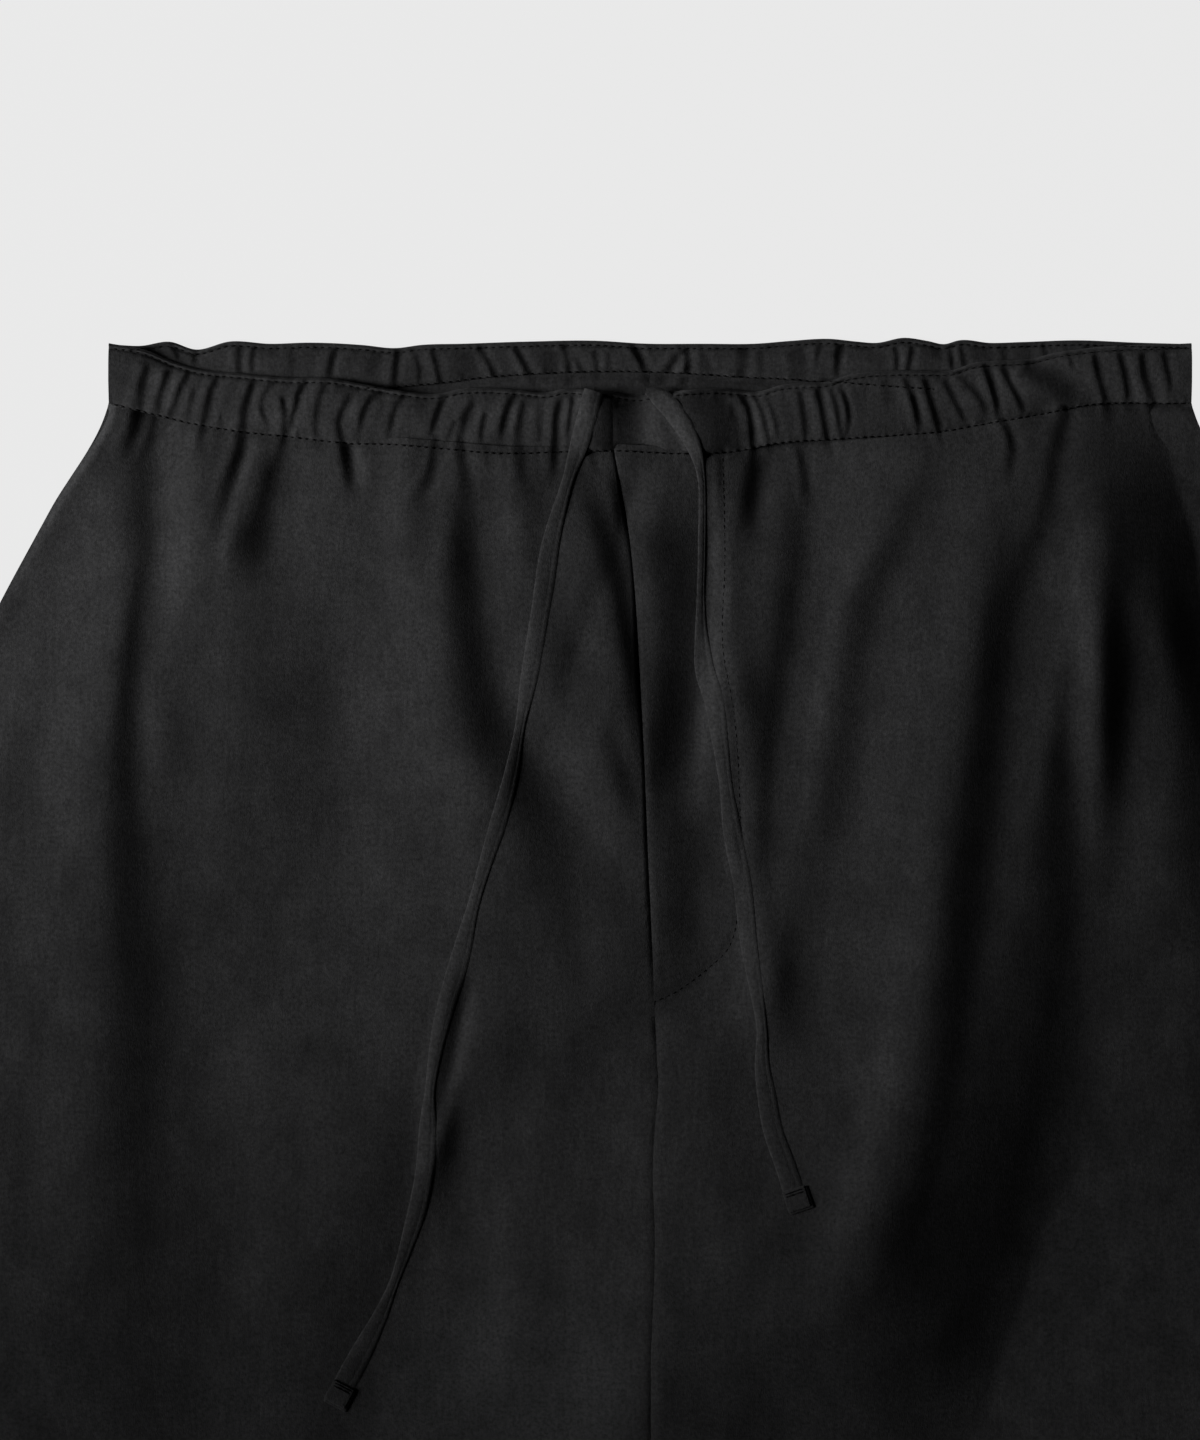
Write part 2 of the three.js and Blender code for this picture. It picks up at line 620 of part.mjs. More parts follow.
// Upper surface of what the tapes lie on. Behind the band's top fold it drops away into the waist.
function tapeGround(x, down) {
  const behind = bandTop(x) - down;
  const bandFace = BAND_REST + BAND_WALL + TALLEST_PUFF;
  if (behind > 0) return mix(bandFace, TAPE_TUCK_RISE, smooth(behind / TAPE_TUCK));
  const below = down - bandSeam(x);
  const panel = frontHeight(x, down) + TALLEST_PUFF * (1 - smooth(below / GATHER_REACH));
  return mix(bandFace, panel, smooth(below / BAND_STEP_RUN));
}

function highestGround(x, down, reach) {
  const offsets = [-reach, 0, reach];
  const heights = offsets.flatMap((dx) => offsets.map((dd) => tapeGround(x + dx, down + dd)));
  return down < bandTop(x) ? tapeGround(x, down) : Math.max(...heights);
}

// A path whose sections keep their wide side level.
class LevelPath extends THREE.CatmullRomCurve3 {
  computeFrenetFrames(segments) {
    const tangents = [];
    const normals = [];
    const binormals = [];
    for (let i = 0; i <= segments; i += 1) {
      const tangent = this.getTangentAt(i / segments);
      const across = new THREE.Vector3(tangent.y, -tangent.x, 0).normalize();
      tangents.push(tangent);
      normals.push(across);
      binormals.push(new THREE.Vector3().crossVectors(tangent, across));
    }
    return { tangents, normals, binormals };
  }
}

function tapePath(route) {
  const flat = new THREE.CatmullRomCurve3(route.map(([x, down]) => new THREE.Vector3(x, yAt(down), 0)));
  const points = flat.getSpacedPoints(TAPE_STEPS);
  points.forEach((point) => {
    const ground = highestGround(point.x, LENGTH / 2 - point.y, TAPE_WIDTH / 2);
    point.z = ground + TAPE_CLEAR + TAPE_WALL / 2;
  });
  return new LevelPath(points);
}

function makeTape(name, path) {
  const section = new THREE.Shape();
  for (let i = 0; i < TAPE_SIDES; i += 1) {
    const angle = ((i + 0.5) / TAPE_SIDES) * 2 * Math.PI;
    const corner = [(Math.cos(angle) * TAPE_WIDTH) / 2, (Math.sin(angle) * TAPE_WALL) / 2];
    if (i === 0) section.moveTo(...corner);
    else section.lineTo(...corner);
  }
  const geometry = new THREE.ExtrudeGeometry(section, { steps: TAPE_STEPS, extrudePath: path });
  return makePiece(name, geometry, TAPE_CLOTH);
}

// The turned end of a tape, just beyond the tape, level and in line with it.
function makeTapeEnd(name, path) {
  const half = TAPE_END_WIDTH / 2;
  const outline = new THREE.Shape();
  outline.moveTo(0, -half);
  outline.lineTo(TAPE_END_LENGTH - TAPE_END_CORNER, -half);
  outline.lineTo(TAPE_END_LENGTH, TAPE_END_CORNER - half);
  outline.lineTo(TAPE_END_LENGTH, half - TAPE_END_CORNER);
  outline.lineTo(TAPE_END_LENGTH - TAPE_END_CORNER, half);
  outline.lineTo(0, half);
  outline.closePath();
  const geometry = new THREE.ExtrudeGeometry(outline, { depth: TAPE_END_WALL, bevelEnabled: false });
  const end = path.getPointAt(1);
  const along = path.getTangentAt(1);
  const mesh = makePiece(name, geometry, TAPE_CLOTH);
  const middle = end.clone().addScaledVector(along, TAPE_END_LENGTH / 2);
  const ground = highestGround(middle.x, LENGTH / 2 - middle.y, half);
  mesh.rotation.z = Math.atan2(along.y, along.x);
  mesh.position.set(end.x + along.x * END_GAP, end.y + along.y * END_GAP, ground + TAPE_CLEAR);
  return mesh;
}

const FRONT_PLAN = panelPlan(FRONT_HEAD, FRONT_FINE, FRONT_LEGS);
const BACK_PLAN = panelPlan(BACK_HEAD, BACK_FINE, BACK_LEGS);

const front = new THREE.Group();
front.add(makePanel('front_right', RIGHT_GATHERS, FRONT_PLAN, bandSeam, frontRightEdges, frontSurface));
front.add(makePanel('front_left', LEFT_GATHERS, FRONT_PLAN, bandSeam, frontLeftEdges, frontSurface));

const back = new THREE.Group();
back.add(makePanel('back_right', BACK_RIGHT_GATHERS, BACK_PLAN, backSeam, backRightEdges, backSurface));
back.add(makePanel('back_left', BACK_LEFT_GATHERS, BACK_PLAN, backSeam, backLeftEdges, backSurface));

const waistband = new THREE.Group();
waistband.add(makeBand('band_front_right', RIGHT_GATHERS, bandTop, bandSeam, BAND_REST));
waistband.add(makeBand('band_front_left', LEFT_GATHERS, bandTop, bandSeam, BAND_REST));
waistband.add(makeBand('band_back', BACK_GATHERS, backTop, backSeam, 0));

const drawstring = new THREE.Group();
[['tape_right', RIGHT_TAPE], ['tape_left', LEFT_TAPE]].forEach(([name, route]) => {
  const path = tapePath(route);
  drawstring.add(makeTape(name, path));
  drawstring.add(makeTapeEnd(`${name}_end`, path));
});

const pants = new THREE.Group();
pants.add(front, back, waistband, drawstring);

export default pants;
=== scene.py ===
import math

import bpy
import numpy as np
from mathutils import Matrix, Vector
from mathutils.bvhtree import BVHTree


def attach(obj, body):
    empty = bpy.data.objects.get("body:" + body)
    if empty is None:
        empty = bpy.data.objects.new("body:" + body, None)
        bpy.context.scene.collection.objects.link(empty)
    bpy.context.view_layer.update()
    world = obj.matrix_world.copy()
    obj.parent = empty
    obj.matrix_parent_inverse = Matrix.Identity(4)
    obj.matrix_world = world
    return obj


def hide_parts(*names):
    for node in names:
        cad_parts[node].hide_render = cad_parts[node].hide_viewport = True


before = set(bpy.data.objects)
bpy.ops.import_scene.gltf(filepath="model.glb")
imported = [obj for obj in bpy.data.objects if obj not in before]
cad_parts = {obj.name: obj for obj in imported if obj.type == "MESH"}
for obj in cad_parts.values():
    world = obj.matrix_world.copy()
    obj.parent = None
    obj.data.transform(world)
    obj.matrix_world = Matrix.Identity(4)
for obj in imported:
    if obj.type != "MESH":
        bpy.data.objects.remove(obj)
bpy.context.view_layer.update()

# Sizes in millimetres. Across runs to the wearer's left from the centre front, and down runs from the
# waistline to the hem. Left and right are the wearer's.
MM = 0.001
LENGTH = 1060.0
HALF_WAIST = 189.0
CROTCH_DOWN = 353.0
FLY_DOWN = 231.0
CLOTH = 0.7
BACK_WALL = 1.2
FRONT_REST = 1.5
BAND_REST = 4.4
PLAIN_FROM = -13.0
PLAIN_TO = 30.0
FOLD_GAIN = 1.12
LOFT = 9.0
LOFT_WIDTH = 60.0
LEGS_FROM = 372.0
LEGS_RUN = 90.0
INNER_WIDTH = 48.0
HEM = 30.0

# Subdivisions of the panels and bands
FRONT_COLUMNS = 196
FRONT_ROWS = 232
BACK_COLUMNS = 130
BACK_ROWS = 120
BAND_ROWS = 56

# The camera looks straight down on the upper front
VIEW_ACROSS = -17.5
VIEW_DOWN = 133.0
VIEW_HEIGHT = 504.0
CAMERA_DISTANCE = 2.0
SENSOR = 36.0

# The lamps stand low on the wearer's right, one for the waist and one for the legs: the name, the place, the
# aim and the radius in metres, the cone in degrees, and how soft the edge of the cone is
LAMP_POWER = 260.0
LAMPS = (
    ("key", (-1.5345, 0.404, 0.575), (0.006, 0.602, 0.005), 0.38, 44.1, 1),
    ("leg lamp", (-1.54, -0.42, 0.62), (0.0, -0.42, 0.005), 0.2, 33.4, 0.5),
)
ROOM_LIGHT = 0.001
FLOOR_GLOW = 0.8

# Front waistband: top fold and gathering seam, across and down
FRONT_TOP = (
    (-189, 1.4), (-175, 4.2), (-168, 7.2), (-158, 10.3), (-143, 11.9), (-126, 13.5), (-112, 13.7), (-98, 16),
    (-88, 17.8), (-73, 18.9), (-66, 17.4), (-60, 17.1), (-45, 17.8), (-36, 18.6), (-30, 17.4), (-24, 17.6),
    (-14, 18.6), (-4, 19.7), (4, 18.5), (12, 17.9), (24, 17.3), (31, 17.7), (38, 18.2), (46, 16), (54, 15.2),
    (63, 14.6), (68, 12.9), (73, 11.9), (80, 11.2), (88, 10.9), (98, 11), (106, 10.7), (112, 8.6),
    (120, 7.6),
    (127, 7.3), (132, 7), (141, 4.9), (150, 3.5), (189, 1.4),
)
FRONT_SEAM = (
    (-189, 22.5), (-175, 26), (-161, 29.4), (-143, 32.6), (-125, 34.4), (-108, 36.4), (-88, 37.2),
    (-73, 38.5),
    (-52, 40.2), (-31, 39.6), (-14, 39.2), (14, 40.2), (30, 39.2), (42, 36.8), (66, 35),
    (88, 33.6), (98, 32.9),
    (119, 29.4), (137, 26.3), (150, 23.6), (189, 22.5),
)
BACK_TOP = (
    (-189, 1.6), (-178, 2.1), (-168, 0.7), (-159, 3.4), (-147, 0.6), (-133, 1.4), (-119, 1), (-101, 1.8),
    (-89, 2.9), (-80, 1.8), (-66, 1.4), (-45, 0.7), (-17, 0.4), (-3, 1.3), (18, 1.4), (38, 1.3), (49, 0.4),
    (63, -0.3), (72, 0.6), (79, 1.1), (89, -0.7), (97, 0.4), (103, 1.5), (108, 0.2), (119, 1.1), (130, 0.8),
    (150, 0.2), (170, 1), (189, 1.5),
)
BACK_SEAM = (
    (-189, 22), (-170, 21), (-146, 19.6), (-88, 16.5), (-73, 15.2), (-56, 13.1), (-31, 11.6), (-10, 11.2),
    (14, 12), (31, 13.1), (49, 14), (79, 16.4), (103, 18), (150, 20), (189, 22),
)
SIDE_SEAM = (
    (0, 189), (23, 189.5), (60, 210), (110, 236), (170, 257), (250, 275), (353, 289), (500, 286), (760, 272),
    (1060, 258),
)
CENTRE_LINE = (
    (0, -13), (40, -12.4), (51, -10.3), (66, -7.7), (81, -6), (119, -3.5), (147, -2.1), (182, -0.7),
    (210, 0.6), (231, 1.4), (252, 2.4), (261, 2.8), (272, 1.8), (287, 0.9), (315, 1.6), (353, 0.2),
)
INNER_SEAM = ((353, 0.15), (405, 0.2), (500, 2.5), (700, 8), (1060, 14))
J_STITCH = (
    (25.2, 41), (25.9, 77), (25.2, 108), (29, 131), (30.8, 157), (30.2, 200), (29.8, 204), (27, 212.5),
    (24.5, 215.6), (20.6, 219), (17, 222), (11.5, 226), (6.3, 229), (1.6, 231),
)

# Gathers of the front band and of the cloth just below it, and of the back band. Their columns are those of
# the large folds below.
FRONT_GATHERS = (
    (((-174.5, 7.5), (-177, 14), (-178.5, 23), (-180.5, 31.5), (-183.5, 40),
     (-185.5, 48.5)), 3.0, 6.1, 4, 6, 0.95, 0.4),
    (((-167.5, 9), (-169.5, 14.5), (-171.5, 21), (-172.5, 27.5), (-174.5, 34), (-177.5, 42),
     (-179.5, 47)), 2.4, 4.6, 3.5, 4, 0.85, 0.4),
    (((-160, 10.5), (-164, 17), (-166, 23), (-168.5, 27.5), (-170.5, 33),
     (-171.5, 39)), 2.2, 2.7, 3, 3, 0.65, 0.45),
    (((-159, 17), (-160.5, 23), (-162.5, 29.5)), 2.2, 2.2, 2.5, 2.5, 0.3, 0.4),
    (((-150, 12), (-153, 17), (-154.5, 23), (-156, 29.5), (-157, 37),
     (-158, 46)), 2.4, 3.5, 3.5, 4, 0.75, 0.45),
    (((-150, 25), (-150, 29.5), (-150.5, 33.5)), 1.6, 1.6, 2, 2, 0.25, 0.4),
    (((-138, 12.5), (-140, 19), (-142, 26), (-142.5, 31.5), (-143, 37), (-144.5, 42.5), (-147, 49.5),
     (-150, 59)), 2.6, 5.4, 4, 4.5, 0.9, 0.45),
    (((-130.5, 14), (-134.5, 18.5), (-136, 24), (-134.5, 28), (-132, 33.5)), 2.4, 2.0, 3, 3, 0.5, 0.45),
    (((-129, 19), (-127.5, 26), (-128, 33), (-128.5, 40), (-130.5, 47)), 1.9, 4.1, 3, 4, 0.7, 0.45),
    (((-119.5, 13.5), (-122.5, 18), (-124, 24.5), (-125.5, 29.5),
     (-126.5, 35)), 2.4, 2.2, 3.5, 3, 0.75, 0.45),
    (((-122.5, 32), (-124, 36), (-125, 40)), 1.9, 2.4, 2, 2.5, 0.3, 0.4),
    (((-112.5, 13.5), (-115, 19), (-116.5, 25), (-117, 31.5), (-116, 37.5),
     (-117, 44)), 2.4, 3.2, 3, 3.5, 0.5, 0.4),
    (((-103.5, 18), (-107.5, 24.5), (-109, 29.5), (-108, 35), (-107, 40), (-105.5, 47),
     (-104, 55.5)), 2.7, 2.7, 3.5, 3, 0.7, 0.45),
    (((-91, 17), (-97.5, 20.5), (-100, 25), (-101.5, 31), (-103, 36.5)), 2.7, 2.2, 3.5, 3.5, 0.7, 0.45),
    (((-84, 17.5), (-87.5, 21), (-89.5, 25), (-91, 31.5), (-92.5, 37)), 2.7, 2.2, 3, 3, 0.55, 0.4),
    (((-71, 19), (-73.5, 23), (-75, 27.5), (-76.5, 32), (-78, 38)), 2.4, 2.4, 3.5, 3, 0.7, 0.45),
    (((-74.5, 33), (-76, 42), (-77.5, 49), (-81, 54.5), (-83.5, 60)), 2.2, 5.4, 3, 4, 0.75, 0.4),
    (((-68, 28), (-70, 33), (-72, 38), (-73.5, 42.5)), 2.0, 2.4, 2.5, 2.5, 0.5, 0.45),
    (((-60.5, 20), (-64, 25.5), (-66, 31), (-67, 36.5), (-66, 41.5), (-65, 49),
     (-63.5, 60)), 2.6, 5.4, 3.5, 4, 0.8, 0.45),
    (((-57.5, 25), (-59, 31.5), (-59.5, 38.5)), 1.9, 1.9, 2.5, 2.5, 0.45, 0.45),
    (((-57.5, 36.5), (-56.5, 42), (-55.5, 49)), 1.9, 2.7, 2.5, 2.5, 0.35, 0.4),
    (((-46, 18), (-49.5, 23), (-51.5, 29.5), (-53, 38)), 3.0, 2.4, 4, 3.5, 0.85, 0.5),
    (((-43.5, 18.5), (-45, 25), (-46, 32), (-46, 39), (-45, 47.5),
     (-42.5, 57.5)), 2.2, 5.4, 3, 4, 0.6, 0.45),
    (((-38, 24), (-38.5, 30), (-38, 37)), 4.1, 2.7, 3, 3, 0.45, 0.3),
    (((-31, 19.5), (-33, 26), (-33.5, 37), (-34, 45.5), (-35, 54)), 2.7, 3.5, 3.5, 3, 0.85, 0.4),
    (((-27, 19.5), (-28, 27.5), (-29.5, 36.5)), 2.0, 1.8, 2.5, 2.5, 0.5, 0.45),
    (((-24.5, 23), (-26, 28.5), (-25.5, 36.5)), 1.6, 1.6, 2, 2, 0.35, 0.4),
    (((-21.5, 38), (-20, 42), (-18, 47.5)), 1.9, 2.2, 2.5, 2.5, 0.4, 0.4),
    (((28.5, 18), (28.5, 24), (28.5, 30)), 1.4, 1.4, 2, 2, 0.17, 0.4),
    (((30, 18.5), (33.5, 23), (35, 29.5), (35.5, 37), (36, 45)), 2.2, 2.4, 3.5, 2.5, 0.75, 0.5),
    (((35.5, 18), (38, 23), (40, 29.5), (41.5, 37), (42.5, 43.5)), 2.0, 2.4, 2.5, 2.5, 0.65, 0.45),
    (((39, 18), (42, 25), (44, 32), (44, 38)), 2.2, 2.0, 2.5, 3, 0.45, 0.4),
    (((36.5, 41), (35.5, 49), (34, 59.5), (32, 73)), 5.0, 8.1, 4, 6, 0.6, 0.3),
    (((51.5, 17), (53, 24.5), (54, 31.5), (55.5, 41.5)), 2.4, 2.4, 3, 3, 0.5, 0.4),
    (((51, 36.5), (53, 42.5), (54, 51), (55, 60)), 2.2, 4.6, 3, 4, 0.6, 0.45),
    (((57.5, 16), (59.5, 24), (61, 31.5), (62.5, 38.5), (62.5, 44)), 2.2, 2.7, 3, 3, 0.7, 0.45),
    (((62.5, 16), (65, 24), (66, 31), (66.5, 36.5)), 2.2, 1.9, 2.5, 2.5, 0.6, 0.45),
    (((65, 15.5), (68, 21.5), (69, 28.5), (68, 35.5)), 2.2, 2.2, 3, 2, 0.7, 0.5),
    (((81, 14), (82.5, 19.5), (82, 26)), 4.1, 5.4, 4, 5, 0.35, 0.4),
    (((88, 12.5), (91.5, 21), (93.5, 29.5), (95, 38)), 2.4, 2.4, 3.5, 3.5, 0.55, 0.45),
    (((91, 19), (92.5, 25), (93.5, 32)), 2.2, 2.2, 2.5, 2.5, 0.3, 0.4),
    (((95, 12.5), (97.5, 21.5), (100, 29.5), (102, 40)), 2.4, 2.7, 3.5, 3, 0.75, 0.45),
    (((102, 13.5), (105.5, 21), (109, 27.5), (111.5, 33.5)), 2.4, 2.2, 3, 3, 0.55, 0.4),
    (((105.5, 11), (111.5, 17), (116, 22.5), (118, 31.5)), 3.0, 3.0, 3.5, 4, 0.6, 0.4),
    (((116, 7.5), (118.5, 15.5), (120.5, 22.5), (122, 31.5)), 2.4, 2.4, 3.5, 3, 0.85, 0.45),
    (((122, 8.5), (125.5, 16), (129, 22.5), (131.5, 29.5)), 2.4, 2.2, 3, 3, 0.7, 0.45),
    (((122, 26.5), (124.5, 32), (126, 37), (125, 44), (123, 52.5)), 2.2, 3.2, 4, 4, 0.8, 0.5),
    (((129.5, 7), (135, 12), (141.5, 16), (147.5, 21), (154, 25)), 6.8, 10.8, 6, 8, 1.6, 0.4),
    (((145, 22.5), (143, 31), (141.5, 42.5)), 4.1, 6.8, 4, 6, 0.9, 0.45),
    (((145, 3), (146.5, 7.5), (147.5, 12.5)), 1.9, 1.9, 2.5, 2.5, 0.4, 0.4),
    (((154.5, 4), (156, 12.5), (159, 21.5), (160.5, 31.5)), 2.4, 3.2, 3.5, 4, 0.75, 0.45),
    (((163, 3.5), (165, 11), (166.5, 19.5), (167.5, 28)), 2.4, 2.4, 3, 3, 0.65, 0.45),
    (((171, 3.5), (172, 12.5), (175, 21.5), (177, 35)), 2.7, 4.1, 3.5, 4, 0.8, 0.45),
    (((178.5, 4), (180.5, 12.5), (182, 21)), 2.4, 2.4, 3, 3, 0.55, 0.45),
)
BACK_GATHERS = (
    (((-181.5, 0.5), (-180, 7.5), (-179.5, 18)), 2.4, 2.4, 3, 3, 0.55, 0.45),
    (((-168, 1.5), (-166, 4), (-164.5, 9)), 1.9, 1.9, 2.5, 2.5, 0.45, 0.45),
    (((-159, 2), (-159.5, 6.5), (-159, 11)), 2.2, 2.2, 3, 3, 0.45, 0.45),
    (((-143.5, 2), (-144, 7.5), (-143, 15.5)), 3.0, 3.0, 3.5, 3, 0.6, 0.4),
    (((-138.5, 2), (-139.5, 7.5), (-139.5, 14.5)), 2.0, 2.0, 2.5, 2.5, 0.4, 0.4),
    (((-125, 2), (-125.5, 7), (-125, 14)), 3.2, 3.2, 4, 4, 0.25, 0.4),
    (((-110, 2), (-111.5, 7.5), (-113, 17)), 2.7, 2.7, 4, 2.5, 0.75, 0.5),
    (((-95, 4), (-97.5, 10), (-98.5, 17.5)), 5.4, 5.4, 4, 4, 0.35, 0.3),
    (((-88, 2), (-89, 8.5), (-90, 19.5)), 2.4, 2.7, 3.5, 2.5, 0.75, 0.45),
    (((-84, 2.5), (-81, 8.5), (-81.5, 19.5)), 1.8, 1.8, 2.5, 2.5, 0.4, 0.4),
    (((-77, 2), (-75, 8.5), (-73, 20.5)), 2.0, 2.4, 2.5, 3.5, 0.6, 0.45),
    (((-64.5, 4), (-63, 10), (-63.5, 18)), 8.1, 8.1, 6, 4, 0.5, 0.2),
    (((-61, 1.5), (-57, 7.5), (-53, 18)), 2.3, 2.4, 3, 3, 0.7, 0.4),
    (((-48, 2), (-44, 9), (-39.5, 19.5)), 2.3, 2.7, 3, 3, 0.8, 0.45),
    (((-35.5, 3.5), (-35, 8.5), (-36.5, 15.5)), 8.1, 6.8, 6, 5, 0.55, 0.2),
    (((-31, 1), (-29, 6.5), (-28.5, 19)), 2.3, 2.4, 3, 2.5, 0.8, 0.45),
    (((-28.5, 2), (-26, 7.5), (-22.5, 15.5)), 2.0, 2.2, 2.5, 2.5, 0.5, 0.4),
    (((-20, 3.5), (-19, 7.5), (-19, 15.5)), 2.2, 2.2, 2.5, 2.5, 0.4, 0.4),
    (((-14.5, 4), (-15, 9), (-13.5, 15.5)), 2.7, 2.7, 3, 3, 0.3, 0.4),
    (((-7.5, 1), (-3.5, 7.5), (0, 19.5)), 2.4, 2.7, 3, 3, 0.85, 0.45),
    (((12, 2), (7.5, 8.5), (3.5, 13.5), (0.5, 19.5)), 3.0, 3.2, 3, 3, 0.8, 0.4),
    (((12.5, 2), (13, 7.5), (10, 19)), 2.4, 3.2, 3, 3, 0.85, 0.45),
    (((18, 4), (19, 10), (21.5, 17.5)), 4.1, 4.1, 4, 4, 0.3, 0.3),
    (((32, 2), (32, 8.5), (31, 18)), 4.6, 4.6, 6, 3, 0.65, 0.3),
    (((38, 3.5), (38.5, 11)), 2.7, 2.7, 3, 3, 0.25, 0.4),
    (((49.5, 3.5), (51, 9), (52.5, 18)), 8.1, 8.1, 8, 4, 0.65, 0.2),
    (((59, 1.5), (58, 7), (57.5, 15.5)), 1.9, 1.9, 2, 2, 0.3, 0.4),
    (((66.5, 1), (65, 7), (65.5, 15.5)), 2.6, 2.7, 3.5, 2.5, 0.7, 0.45),
    (((85, 2), (86, 7), (86, 14.5)), 1.9, 1.9, 2.5, 2.5, 0.5, 0.45),
    (((91.5, 2), (90.5, 7), (89.5, 14)), 2.2, 2.2, 3, 2.5, 0.6, 0.45),
    (((104.5, 1.5), (105, 6.5), (105.5, 12.5)), 1.9, 1.9, 2.5, 2.5, 0.55, 0.45),
    (((108, 2), (109, 6.5), (110, 12.5)), 1.9, 1.9, 2.5, 2.5, 0.45, 0.45),
    (((122.5, 1.5), (123.5, 5.5), (123.5, 11)), 2.7, 2.7, 3, 3, 0.35, 0.4),
    (((136.5, 1), (138, 5.5), (137.5, 11)), 2.4, 2.4, 3, 3, 0.45, 0.4),
    (((152.5, 1.5), (151.5, 6.5), (150.5, 12.5)), 2.4, 2.4, 3, 3, 0.55, 0.45),
    (((165, 1.5), (166.5, 7), (167.5, 14)), 2.4, 2.4, 3, 3, 0.6, 0.45),
    (((178.5, 2), (178, 8.5), (176.5, 17)), 2.4, 2.4, 3, 3, 0.55, 0.45),
)

